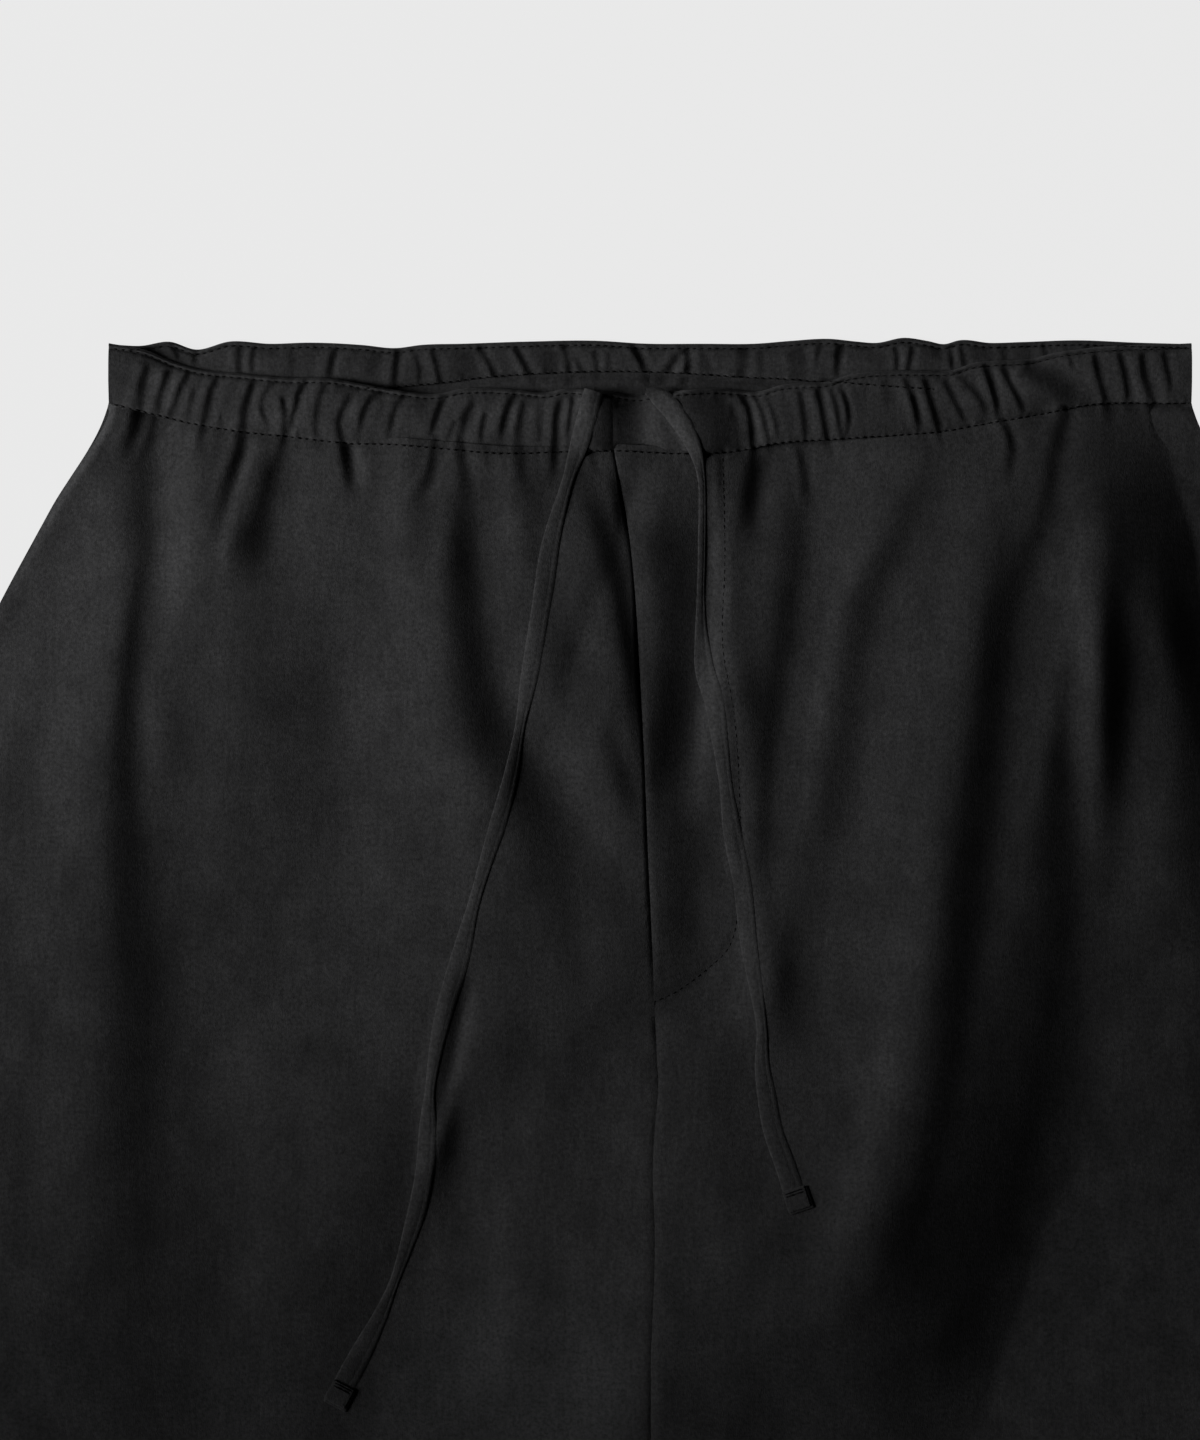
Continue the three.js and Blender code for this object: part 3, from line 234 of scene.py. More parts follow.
# Large folds of the front: the line along which the cloth falls, the width of the fall at the start and the
# end, the width of the rise before it and of the recovery after it, the depth, and the share of the depth
# that stands above the cloth around it
FRONT_FOLDS = (
    (((-173, 63), (-175.5, 73.5), (-179, 87.5), (-181.5, 105), (-182.5, 126), (-183.5, 157.5), (-182, 189),
     (-179, 224), (-178, 262.5), (-180, 315), (-182, 385)), 3.5, 45, 21, 34, 2.45, 0.3),
    (((-132.5, 31.5), (-133.5, 42), (-136.5, 56), (-139, 73.5),
     (-140, 94.5)), 9.5, 19, 3.5, 28.5, 2.95, 0.35),
    (((-142.5, 31.5), (-144.5, 42), (-147.5, 54), (-152.5, 70)), 9.5, 7, 8.5, 8, 1.25, 0),
    (((-126, 91), (-124, 119), (-121, 147), (-118.5, 175), (-115.5, 203)), 33.5, 26.5, 38, 20.5, 1.65, 0),
    (((-107, 32), (-105.5, 44), (-103.5, 57.5)), 3, 7.5, 7.5, 3, 1.65, 0),
    (((-68, 77), (-68, 105), (-69.5, 133), (-71, 161), (-73.5, 189), (-76.5, 217),
     (-79, 245)), 9, 22, 41.5, 12, -0.15, 0),
    (((-66, 36.5), (-65.5, 63), (-65.5, 84), (-64, 105), (-61, 126), (-56, 141.5), (-49.5, 151),
     (-42.5, 161), (-37, 173.5), (-31, 189), (-23, 206.5), (-17.5, 224)), 10, 32.5, 29, 18.5, 3.9, 0.5),
    (((-44, 35), (-42.5, 49), (-40, 63), (-35, 77)), 13, 13, 8, 12, 0.65, 0.9),
    (((-13.5, 70), (-19, 84), (-24.5, 98.5), (-29.5, 112), (-33, 126),
     (-35.5, 143.5)), 9, 9, 15.5, 3, 0.75, 0.85),
    (((-23.5, 44), (-20.5, 56), (-17, 66.5), (-13.5, 77.5), (-10.5, 91), (-7.5, 108.5), (-5.5, 126),
     (-4, 147)), 11.5, 4.5, 18.5, 8.5, 1.75, 0.8),
    (((-11.5, 45), (-11, 56), (-9.5, 72)), 8, 2, 5, 12, 1.65, 0.1),
    (((-17, 131.5), (-13.5, 145.5), (-9, 159), (-3.5, 170)), 7, 7, 6.5, 5.5, 0.65, 0.2),
    (((7, 45.5), (9, 70), (10, 91), (9, 112), (7.5, 133), (6.5, 154),
     (6.5, 175)), 24.5, 12.5, 3, 7.5, 2.75, 0.1),
    (((14, 161), (13.5, 178.5), (11, 196), (9, 213.5)), 16, 14, 15, 23.5, 0.7, 0.9),
    (((36.5, 33.5), (35, 49), (33, 70)), 10.5, 6, 15, 9, 1.05, 0),
    (((54.5, 35), (53, 56), (51, 77), (47.5, 98), (44.5, 119), (41.5, 140), (39.5, 161), (39, 185.5),
     (41.5, 213.5), (45.5, 245)), 12, 6, 11.5, 11.5, 1.2, 0.7),
    (((100, 42.5), (91.5, 59), (83.5, 73.5), (76.5, 89), (72.5, 105), (69.5, 122.5), (68, 140), (65, 161),
     (57.5, 185.5), (51, 210)), 12.5, 19, 6, 28, 2.55, 0.2),
    (((124.5, 29.5), (124, 56), (123, 77), (122, 98), (119.5, 119), (117, 140), (115, 161), (112, 182),
     (108.5, 203), (105, 224), (101, 248.5), (96, 269.5), (90.5, 290.5), (83.5, 310), (73.5, 327),
     (59.5, 346.5), (45.5, 367.5), (32, 388), (20, 408)), 14.5, 27, 15, 25.5, 2.85, 0.45),
    (((103, 224), (98.5, 246.5), (93.5, 268), (88.5, 283.5), (83.5, 299), (75.5, 314), (65, 327),
     (51, 338.5), (31.5, 346.5), (14, 352), (-3.5, 357)), 4, 20.5, 25.5, 9, -0.1, 0.85),
    (((141.5, 29.5), (140, 45.5), (138, 57.5), (133, 72), (127.5, 87.5),
     (122.5, 105)), 2, 14, 4.5, 29.5, 1.25, 0),
    (((152, 77), (147.5, 108.5), (145, 140), (142, 168), (139.5, 196), (137, 224), (133, 252), (126, 280),
     (117, 311.5), (110, 343), (105, 378), (102, 415), (100, 455)), 2, 84, 32.5, 39.5, 4.1, 0.4),
    (((-70, 238), (-76.5, 266), (-86, 294), (-97.5, 322), (-108, 350),
     (-116, 385), (-121, 425)), 45.5, 46.5, 25.5, 49, 3, 0.2),
    (((-45.5, 224), (-49.5, 245), (-54.5, 266), (-61.5, 287), (-70, 308)), 26.5, 26, 5, 29.5, 3.1, 0.8),
    (((27.5, 217), (27.5, 245), (29.5, 273), (33, 301), (34.5, 325.5)), 12.5, 27, 16.5, 10.5, 0.45, 1),
    (((-20.5, 224), (-24.5, 252), (-29.5, 280), (-35, 311.5)), 26.5, 24.5, 16.5, 22, 2, 0.4),
    (((-148.5, 252), (-147.5, 280), (-145, 308), (-141.5, 339.5),
     (-138, 371)), 27.5, 23.5, 18.5, 27, 0.6, 0.75),
    (((-63, 214), (-67, 234), (-70, 252), (-71.5, 272), (-73, 292), (-78, 316)), 7, 12, 6, 16, 2.5, 0.45),
    (((-205, 90), (-220, 150), (-232, 240), (-238, 330)), 14, 30, 24, 30, 2.2, 0.4),
    (((176, 70), (186, 110), (190, 170), (186, 240)), 14, 24, 20, 24, 2, 0.4),
    (((226, 170), (234, 260), (230, 360)), 20, 30, 24, 30, 2, 0.4),
    (((-118, 400), (-128, 520), (-150, 640), (-176, 740)), 30, 40, 40, 50, 3, 0.4),
    (((-40, 430), (-52, 540), (-80, 640)), 24, 30, 30, 40, 2, 0.4),
    (((-216, 420), (-222, 540), (-214, 660)), 24, 30, 30, 30, 2.2, 0.4),
    (((-92, 660), (-110, 780), (-120, 900), (-118, 1010)), 30, 40, 40, 40, 2.6, 0.4),
    (((-190, 760), (-186, 880), (-176, 1000)), 30, 34, 34, 40, 2.2, 0.4),
    (((-45, 720), (-52, 840), (-50, 960)), 20, 26, 24, 30, 1.6, 0.4),
    (((96, 392), (118, 500), (150, 610), (182, 700)), 30, 38, 40, 50, 3, 0.4),
    (((36, 440), (58, 560), (92, 668)), 24, 32, 30, 40, 2.2, 0.4),
    (((222, 430), (214, 560), (220, 690)), 24, 28, 30, 30, 2, 0.4),
    (((80, 690), (104, 800), (112, 910), (106, 1015)), 30, 40, 40, 40, 2.8, 0.4),
    (((196, 770), (182, 890), (186, 1005)), 28, 34, 34, 38, 2, 0.4),
    (((48, 760), (44, 870), (52, 980)), 20, 26, 24, 30, 1.8, 0.4),
)

# Broad swells and hollows of the front: across, down, the two half widths, and the rise
FRONT_SWELLS = (
    (-171, 75, 9, 59, -3.8), (-170, 123, 8, 37, 2.25), (-133, 208, 52, 56, -5), (-47, 333, 11, 30, 1.75),
    (-3, 370, 26, 45, 5), (92, 193, 24, 93, 3.2), (75, 312, 24, 44, 3.55), (156, 123, 8, 45, 4.15),
    (99, 276, 27, 51, 2.8), (125, 315, 89, 67, -3.25), (30, 124, 7, 22, 1.8), (42, 222, 8, 19, 2.3),
    (-55, 111, 30, 88, 3.7), (-13, 144, 15, 37, 3.05), (-24, 194, 7, 28, -0.35), (20, 203, 14, 33, -2.35),
    (-85, 54, 7, 36, 1.15), (-94, 343, 73, 66, -5), (-152, 324, 26, 90, -1.95), (38, 330, 37, 43, 5),
    (90, 138, 29, 37, 1.45), (56, 51, 24, 63, -3.2),
)

# The crest beyond which the left front slopes down to its side: down and across
CREST = ((30, 126), (115, 119), (200, 108), (256, 98), (315, 78), (345, 56), (385, 10))
SIDE_SLOPE = 9.0
SIDE_SLOPE_RUN = 130.0
SIDE_SLOPE_TO = 400.0
SIDE_SLOPE_FADE = 160.0

# Routes of the tapes: across, down, and the curl of the tape in degrees, which narrows it
RIGHT_TAPE = (
    (-19.6, 18.2, 0), (-20.2, 20.2, 0), (-21.4, 25.2, 4), (-23.6, 33, 16), (-26, 41, 34), (-28.2, 48, 50),
    (-31.2, 58, 44), (-34.3, 70, 30),
    (-37.5, 91, 6), (-41, 112, 20), (-45.5, 136.5, 58), (-48, 150.5, 40), (-51.5, 164.5, 30), (-57, 182, 46),
    (-61.6, 197.8, 50), (-66.5, 217, 16), (-71, 232.8, 4), (-74.6, 248.5, 40), (-76.7, 262.5, 58),
    (-77.5, 276, 26), (-78.3, 288, 4), (-80.8, 302, 16), (-84.8, 316, 44), (-89.6, 330, 58),
    (-94.6, 342, 34), (-100.6, 353.5, 8), (-106.8, 365, 0),
)
LEFT_TAPE = (
    (-1.6, 18.3, 72), (0.6, 18.8, 52), (3, 20.2, 20), (7, 24.1, 0), (11.4, 30.1, 14), (14.9, 36.7, 36),
    (17, 42.9, 54), (18, 49, 64), (18.3, 58, 66), (18.2, 67, 66), (18, 78, 66), (17.7, 91, 62),
    (17.9, 105, 44),
    (18.9, 115.5, 20),
    (22.1, 126, 10), (24.2, 140, 30), (26.6, 157.5, 46), (29.1, 175, 16), (31.9, 189, 10), (34.3, 211, 34),
    (36.8, 226.5, 46), (38.9, 241.5, 54), (39, 253, 40), (40.6, 264, 20), (42.7, 275.8, 8), (46.6, 287, 0),
    (49.6, 296, 0),
)
TAPE_WIDTH = 6.8
TAPE_WALL = 0.42
TAPE_STEP = 1.1
TAPE_LIFT = -0.08
STITCH = 2.6
TAPE_TUCK_RISE = 3.6
TAPE_TUCK = 2.2
TAPE_FLARE = 0.12
TAPE_FLARE_RUN = 30

cloth_mesh = {}


def smooth(value):
    t = np.clip(value, 0, 1)
    return t * t * (3 - 2 * t)


def mix(a, b, t):
    return a + (b - a) * t


def through(rows, at):
    """Values on a smooth line through the rows of a table, each a place and its value."""
    table = np.array(rows, float)
    keys, values = table[:, 0], table[:, 1]
    slopes = np.gradient(values, keys)
    at = np.clip(np.asarray(at, float), keys[0], keys[-1])
    i = np.clip(np.searchsorted(keys, at) - 1, 0, len(keys) - 2)
    span = keys[i + 1] - keys[i]
    t = (at - keys[i]) / span
    ease = t * t * (3 - 2 * t)
    leave = t * (1 - t) ** 2 * span * slopes[i]
    arrive = t * t * (1 - t) * span * slopes[i + 1]
    return values[i] + ease * (values[i + 1] - values[i]) + leave - arrive


def route_points(rows, step):
    """Points a step apart on a smooth line through given rows of any number of columns."""
    table = np.array(rows, float)
    run = np.concatenate([[0], np.cumsum(np.linalg.norm(np.diff(table[:, :2], axis=0), axis=1))])
    at = np.linspace(0, run[-1], max(int(run[-1] / step), 4))
    return np.stack([through(np.stack([run, column], axis=1), at) for column in table.T], axis=1)


def beside_line(across, down, line):
    """Distance to a line of points, positive on its right as it runs down, and the share of its length."""
    best = np.full(across.shape, 1e9)
    signed = np.zeros(across.shape)
    where = np.zeros(across.shape)
    for i, (a, b) in enumerate(zip(line[:-1], line[1:])):
        run = b - a
        t = np.clip(((across - a[0]) * run[0] + (down - a[1]) * run[1]) / (run @ run), 0, 1)
        off_across, off_down = across - a[0] - t * run[0], down - a[1] - t * run[1]
        apart = np.hypot(off_across, off_down)
        side = np.sign(off_across * run[1] - off_down * run[0])
        nearer = apart < best
        best = np.where(nearer, apart, best)
        signed = np.where(nearer, apart * side, signed)
        where = np.where(nearer, (i + t) / (len(line) - 1), where)
    return signed, where


def fold_relief(across, down, folds, step=8, fade_in=0.22, fade_out=0.42):
    """Height that folds add: the cloth rises to the line of each, falls across it, and recovers."""
    relief = np.zeros(across.shape)
    for points, start_width, end_width, lead, trail, depth, above in folds:
        line = route_points(points, step)
        margin = max(lead, trail) + max(start_width, end_width)
        low, high = line.min(axis=0) - margin, line.max(axis=0) + margin
        near = (across > low[0]) & (across < high[0]) & (down > low[1]) & (down < high[1])
        if not near.any():
            continue
        apart, where = beside_line(across[near], down[near], line)
        half = mix(start_width, end_width, where) / 2
        fade = smooth(where / fade_in) * smooth((1 - where) / fade_out)
        rise = smooth((apart + half + lead) / lead) * above
        fall = smooth((apart + half) / (2 * half))
        recovery = smooth((apart - half) / trail) * (1 - above)
        relief[near] += depth * fade * (rise - fall + recovery)
    return relief


def softened(relief, columns, turns):
    """Relief evened out along the grid of a panel."""
    field = relief.reshape(-1, columns).copy()
    for _ in range(turns):
        around = field[:-2, 1:-1] + field[2:, 1:-1] + field[1:-1, :-2] + field[1:-1, 2:]
        field[1:-1, 1:-1] = around / 8 + field[1:-1, 1:-1] / 2
    return field.reshape(relief.shape)


def gather_relief(across, down, gathers):
    return fold_relief(across, down, gathers, step=3, fade_in=0.1, fade_out=0.4)


def ripple(across, down, size, seed):
    """Small uneven undulation of cloth, as a sum of a few slanted waves."""
    turns = np.random.default_rng(seed)
    total = np.zeros(across.shape)
    for _ in range(9):
        angle = turns.uniform(-0.5, 0.5) + (math.pi / 2 if turns.random() < 0.25 else 0)
        wave = 2 * math.pi / (size * turns.uniform(0.7, 2.2))
        phase = turns.uniform(0, 2 * math.pi)
        bend = 0.8 * np.sin(down / size * 0.9 + phase)
        total += np.sin(wave * (across * math.cos(angle) + down * math.sin(angle)) + phase + bend)
    return total / 9


def front_height(across, down, columns):
    """Upper surface of the front, as a height above the table."""
    side = through(SIDE_SEAM, down) - np.abs(across)
    leg = smooth((down - LEGS_FROM) / LEGS_RUN)
    inner_room = np.abs(across) - through(INNER_SEAM, down)
    inner = mix(1, smooth((inner_room + 4) / INNER_WIDTH), leg)
    seam = through(FRONT_SEAM, across)
    below = np.maximum(down - seam, 0)
    lowest = FRONT_REST + BACK_WALL + (BAND_REST - FRONT_REST) * (1 - smooth(below / 70))
    loft = LOFT * smooth(side / LOFT_WIDTH) * inner * smooth(below / 60 + 0.1)
    relief = FOLD_GAIN * softened(fold_relief(across, down, FRONT_FOLDS), columns, 4)
    for x, y, wide, high, rise in FRONT_SWELLS:
        relief += FOLD_GAIN * rise * np.exp(-(((across - x) / wide) ** 2) - ((down - y) / high) ** 2)
    sloping = SIDE_SLOPE * (1 - smooth((down - SIDE_SLOPE_TO) / SIDE_SLOPE_FADE))
    slope = sloping * smooth((across - through(CREST, down)) / SIDE_SLOPE_RUN)
    gathers = gather_relief(across, down, FRONT_GATHERS) * smooth(side / 6)
    small = 0.35 * ripple(across, down, 34, 3) * smooth(below / 30) * smooth(side / 20)
    height = lowest + loft + relief * smooth(side / 14) - slope + small + gathers
    height += seam_pucker(across, np.abs(down - seam), 7)
    floor = FRONT_REST + BACK_WALL - 0.6
    return np.maximum(height, floor + 0.3 * np.tanh(height - floor))


def seam_pucker(across, apart, seed):
    """The line that a row of stitches draws into the cloth, with small puckers across it."""
    groove = 0.5 * np.exp(-((apart / 0.75) ** 2))
    puckers = 0.3 * ripple(across, np.zeros(across.shape), 5, seed) * np.exp(-((apart / 2.6) ** 2))
    dimples = 0.12 * (1 + np.cos(2 * math.pi * across / STITCH)) * np.exp(-((apart / 0.8) ** 2))
    return puckers - groove - dimples


def fly_rise(across, down):
    """How far the fly facing lifts the left front, and the groove that its stitching draws."""
    edge = across - through(CENTRE_LINE, down)
    line = route_points(J_STITCH, 3)
    apart, _ = beside_line(across, down, line)
    on_facing = smooth((through([(row[1], row[0]) for row in J_STITCH], down) - across) / 4 + 0.5)
    rise = 0.3 * on_facing * smooth((FLY_DOWN + 4 - down) / 10)
    roll = 0.35 * (1 - smooth(edge / 1.4)) * smooth((FLY_DOWN + 6 - down) / 30)
    groove = 0.3 * np.exp(-((apart / 0.9) ** 2))
    return rise - groove - roll


def deselect():
    bpy.ops.object.select_all(action="DESELECT")


def active(piece):
    deselect()
    piece.select_set(True)
    bpy.context.view_layer.objects.active = piece


def flat_grid(name, across, down):
    """A new grid, with each point's share across and part down, from 0 to 1."""
    deselect()
    bpy.ops.mesh.primitive_grid_add(x_subdivisions=across, y_subdivisions=down, size=1)
    piece = bpy.context.active_object
    piece.name = name
    piece.data.name = name
    places = np.empty(len(piece.data.vertices) * 3)
    piece.data.vertices.foreach_get("co", places)
    places = places.reshape(-1, 3)
    return piece, places[:, 0] + 0.5, 0.5 - places[:, 1]


def place_points(piece, across, down, height):
    places = np.stack([across * MM, (LENGTH / 2 - down) * MM, height * MM], axis=1)
    piece.data.vertices.foreach_set("co", places.ravel())
    piece.data.update()


def tube(name, rings):
    """A closed tube from a grid: its rows are the rings, the first and last columns meet, the ends fill."""
    count, sides = rings.shape[:2]
    piece, share, part = flat_grid(name, sides, count - 1)
    row = np.rint(part * (count - 1)).astype(int)
    column = np.rint(share * sides).astype(int) % sides
    piece.data.vertices.foreach_set("co", rings[row, column].ravel())
    piece.data.update()
    active(piece)
    bpy.ops.object.mode_set(mode="EDIT")
    bpy.ops.mesh.select_all(action="SELECT")
    bpy.ops.mesh.remove_doubles(threshold=1e-6)
    bpy.ops.mesh.fill_holes(sides=0)
    bpy.ops.mesh.select_all(action="SELECT")
    bpy.ops.mesh.normals_make_consistent(inside=False)
    bpy.ops.object.mode_set(mode="OBJECT")
    return piece


def thicken(piece, wall):
    active(piece)
    solid = piece.modifiers.new("wall", "SOLIDIFY")
    solid.thickness = wall * MM
    solid.offset = -1
    bpy.ops.object.modifier_apply(modifier="wall")
    bpy.ops.object.shade_smooth_by_angle(angle=math.radians(50))


def finish_piece(piece, material, node):
    piece.data.materials.clear()
    piece.data.materials.append(material)
    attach(piece, "root")
    if node:
        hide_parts(node)


def keep_surface(name, piece):
    places = [vertex.co.copy() for vertex in piece.data.vertices]
    faces = [face.vertices[:] for face in piece.data.polygons]
    cloth_mesh[name] = BVHTree.FromPolygons(places, faces)


def ground_at(x, y):
    """Height in metres of the cloth under a place, or None."""
    best = None
    for tree in cloth_mesh.values():
        hit = tree.ray_cast(Vector((x, y, 0.2)), Vector((0, 0, -1)))[0]
        if hit is not None and (best is None or hit.z > best):
            best = hit.z
    return best


# Materials


def new_material(name, colour, roughness):
    material = bpy.data.materials.new(name)
    material.use_nodes = True
    shader = material.node_tree.nodes["Principled BSDF"]
    shader.inputs["Base Color"].default_value = (*colour, 1)
    shader.inputs["Roughness"].default_value = roughness
    return material, shader


def add_node(material, kind, **values):
    node = material.node_tree.nodes.new(kind)
    for key, value in values.items():
        if hasattr(node, key):
            setattr(node, key, value)
        else:
            node.inputs[key.replace("_", " ")].default_value = value
    return node


def wire(material, source, out, target, into):
    material.node_tree.links.new(source.outputs[out], target.inputs[into])


def noise_at(material, stretch, scale, detail):
    """Noise on the piece's own coordinates, stretched along its axes."""
    place = add_node(material, "ShaderNodeTexCoord")
    mapping = add_node(material, "ShaderNodeMapping")
    mapping.inputs["Scale"].default_value = stretch
    noise = add_node(material, "ShaderNodeTexNoise", Scale=scale, Detail=detail, Roughness=0.6)
    wire(material, place, "Object", mapping, "Vector")
    wire(material, mapping, "Vector", noise, "Vector")
    return noise


def ranged(material, noise, low, high, to_low, to_high):
    spread = add_node(material, "ShaderNodeMapRange")
    spread.inputs["From Min"].default_value = low
    spread.inputs["From Max"].default_value = high
    spread.inputs["To Min"].default_value = to_low
    spread.inputs["To Max"].default_value = to_high
    wire(material, noise, "Fac", spread, "Value")
    return spread


def times(material, first, second):
    product = add_node(material, "ShaderNodeMath", operation="MULTIPLY")
    wire(material, first, 0, product, 0)
    wire(material, second, 0, product, 1)
    return product


def brushed_cloth(name, colour, sheen):
    """Black twill with a short brushed nap: fine grain, faint streaks down the cloth and soft mottling."""
    material, shader = new_material(name, colour, 0.92)
    shader.inputs["Specular IOR Level"].default_value = 0.12
    shader.inputs["Sheen Weight"].default_value = sheen
    shader.inputs["Sheen Roughness"].default_value = 0.45
    shader.inputs["Sheen Tint"].default_value = (0.9, 0.9, 0.92, 1)
    grain = ranged(material, noise_at(material, (1, 1, 1), 850, 6), 0.25, 0.75, 0.45, 1.55)
    streaks = ranged(material, noise_at(material, (1, 0.09, 1), 700, 3), 0.3, 0.7, 0.88, 1.12)
    mottling = ranged(material, noise_at(material, (1, 0.7, 1), 70, 5), 0.3, 0.7, 0.74, 1.26)
    level = times(material, times(material, grain, streaks), mottling)
    tint = add_node(material, "ShaderNodeMix", data_type="RGBA", blend_type="MULTIPLY")
    tint.inputs["Factor"].default_value = 1
    tint.inputs[6].default_value = (*colour, 1)
    wire(material, level, 0, tint, 7)
    wire(material, tint, 2, shader, "Base Color")
    bump = add_node(material, "ShaderNodeBump", Strength=0.5, Distance=0.00025)
    wire(material, noise_at(material, (1, 0.5, 1), 2200, 2), "Fac", bump, "Height")
    wire(material, bump, "Normal", shader, "Normal")
    return material


def thread(name, colour):
    material, shader = new_material(name, colour, 0.6)
    shader.inputs["Specular IOR Level"].default_value = 0.1
    grain = ranged(material, noise_at(material, (1, 1, 1), 4000, 1), 0.3, 0.7, 0.7, 1.3)
    tint = add_node(material, "ShaderNodeMix", data_type="RGBA", blend_type="MULTIPLY")
    tint.inputs["Factor"].default_value = 1
    tint.inputs[6].default_value = (*colour, 1)
    wire(material, grain, 0, tint, 7)
    wire(material, tint, 2, shader, "Base Color")
    return material


def plain_floor(name):
    """An evenly lit pale floor, as over a light table."""
    material, shader = new_material(name, (0.02, 0.02, 0.02), 0.9)
    shader.inputs["Specular IOR Level"].default_value = 0
    shader.inputs["Emission Color"].default_value = (1, 1, 1, 1)
    shader.inputs["Emission Strength"].default_value = FLOOR_GLOW
    return material


cloth = brushed_cloth("brushed twill", (0.02, 0.02, 0.0205), 0.04)
tape_cloth = brushed_cloth("tape twill", (0.0215, 0.0215, 0.022), 0.035)
# The thread is much darker than the cloth's black: the thread's own black plus painted shade for the stitch
# holes and the groove it lies in
thread_with_painted_shade = thread("sewing thread with painted shade", (0.003, 0.003, 0.0031))

# Camera, floor and lights


def make_camera():
    data = bpy.data.cameras.new("camera")
    data.sensor_width = SENSOR
    data.lens = SENSOR * CAMERA_DISTANCE / (VIEW_HEIGHT * MM)
    data.clip_start = 0.05
    camera = bpy.data.objects.new("camera", data)
    bpy.context.scene.collection.objects.link(camera)
    camera.location = (VIEW_ACROSS * MM, (LENGTH / 2 - VIEW_DOWN) * MM, CAMERA_DISTANCE)
    bpy.context.scene.camera = camera


def make_floor():
    deselect()
    bpy.ops.mesh.primitive_plane_add(size=12, location=(0, 0, -0.0004))
    floor = bpy.context.active_object
    floor.name = "floor"
    floor.data.materials.append(plain_floor("pale floor"))


def spot_light(name, place, aim, radius, cone, softness):
    data = bpy.data.lights.new(name, "SPOT")
    data.shadow_soft_size = radius
    data.spot_size = math.radians(cone)
    data.spot_blend = softness
    data.energy = LAMP_POWER
    light = bpy.data.objects.new(name, data)
    bpy.context.scene.collection.objects.link(light)
    light.location = place
    light.rotation_euler = (Vector(aim) - Vector(place)).to_track_quat("-Z", "Y").to_euler()


def make_lights():
    world = bpy.data.worlds.new("room")
    world.use_nodes = True
    world.node_tree.nodes["Background"].inputs["Color"].default_value = (1, 1, 1, 1)
    world.node_tree.nodes["Background"].inputs["Strength"].default_value = ROOM_LIGHT
    bpy.context.scene.world = world
    for lamp in LAMPS:
        spot_light(*lamp)
    bpy.context.scene.view_settings.view_transform = "Standard"


make_camera()
make_floor()
make_lights()

# Panels


def rows_down(part, fine_share, fine_to):
    """Spacing of a panel's rows: fine as far as fine_to, then coarser to the hem."""
    fine = part / fine_share * fine_to
    rest = fine_to + (part - fine_share) / (1 - fine_share) * (1 - fine_to)
    return np.where(part < fine_share, fine, rest)


def make_front(name, is_right):
    piece, share, part = flat_grid(name + "_cloth", FRONT_COLUMNS, FRONT_ROWS)
    waist = mix(-HALF_WAIST, PLAIN_FROM, share) if is_right else mix(PLAIN_FROM, HALF_WAIST, share)
    seam = through(FRONT_SEAM, waist)
    level = rows_down(part, 0.8, 0.38)
    down = mix(seam - 2.5, LENGTH, level)
    side = through(SIDE_SEAM, down)
    centre = through(CENTRE_LINE, down)
    inner = through(INNER_SEAM, down)
    if is_right:
        under = 9 * smooth((FLY_DOWN + 2 - down) / 40)
        overlap = 1.4 * smooth((440 - down) / 40) * smooth((down - FLY_DOWN) / 20)
        parted = mix(centre, -inner, smooth((down - CROTCH_DOWN) / 20))
        middle = np.where(down < CROTCH_DOWN, centre + under - 0.05, parted)
        across = mix(-side, middle + overlap, share)
    else:
        across = mix(np.where(down < CROTCH_DOWN, centre, inner), side, share)
    height = front_height(across, down, FRONT_COLUMNS + 1)
    height -= 0.9 * smooth((seam - down) / 1.2)
    if is_right:
        tuck = smooth((across - centre + 0.4) / 1.2) * smooth((CROTCH_DOWN - down) / 20)
        height = height - 1.5 * tuck * smooth((FLY_DOWN + 8 - down) / 40)
    else:
        height = height + fly_rise(across, down)
    seam_line = np.abs(across - centre)
    height -= 0.3 * np.exp(-((seam_line / 1.3) ** 2)) * smooth((down - FLY_DOWN) / 8)
    if is_right:
        height -= 0.7 * smooth((across - centre) / 0.6) * smooth((down - FLY_DOWN) / 8)
    edge = np.where(is_right, share, 1 - share) * (side + 12)
    roll = 1 - smooth(edge / 5)
    height = mix(height, 1.3 + CLOTH, roll ** 2)
    hem = smooth((down - LENGTH + HEM) / 2)
    height += 0.9 * hem - 0.5 * np.exp(-(((down - LENGTH + HEM - 1) / 0.9) ** 2))
    place_points(piece, across, down, height)
    thicken(piece, CLOTH)
    keep_surface(name, piece)
    finish_piece(piece, cloth, name)


def make_back(name, is_right):
    piece, share, part = flat_grid(name + "_cloth", BACK_COLUMNS, BACK_ROWS)
    waist = mix(-HALF_WAIST, 0, share) if is_right else mix(0, HALF_WAIST, share)
    seam = through(BACK_SEAM, waist)
    level = rows_down(part, 0.4, 0.06)
    down = mix(seam - 2, LENGTH, level)
    side = through(SIDE_SEAM, down)
    closed = 0.05 if is_right else -0.3
    inner = np.where(down < CROTCH_DOWN, closed, through(INNER_SEAM, down))
    across = mix(-side, -inner, share) if is_right else mix(inner, side, share)
    below = np.maximum(down - seam, 0)
    gathers = gather_relief(across, down, BACK_GATHERS) * smooth(side - np.abs(across))
    rise = 1.9 * smooth(below / 4) * (1 - smooth(below / 34))
    pucker = seam_pucker(across, below, 9) * (1 - smooth(below / 20))
    height = BACK_WALL + np.maximum(rise + gathers * (1 - smooth(below / 30)) + pucker, 0)
    place_points(piece, across, down, height)
    thicken(piece, BACK_WALL)
    lay_flat(piece)
    keep_surface(name, piece)
    finish_piece(piece, cloth, name)


def lay_flat(piece):
    """Presses a piece's underside onto the table."""
    for vertex in piece.data.vertices:
        if vertex.co.z < 0.0001:
            vertex.co.z = 0


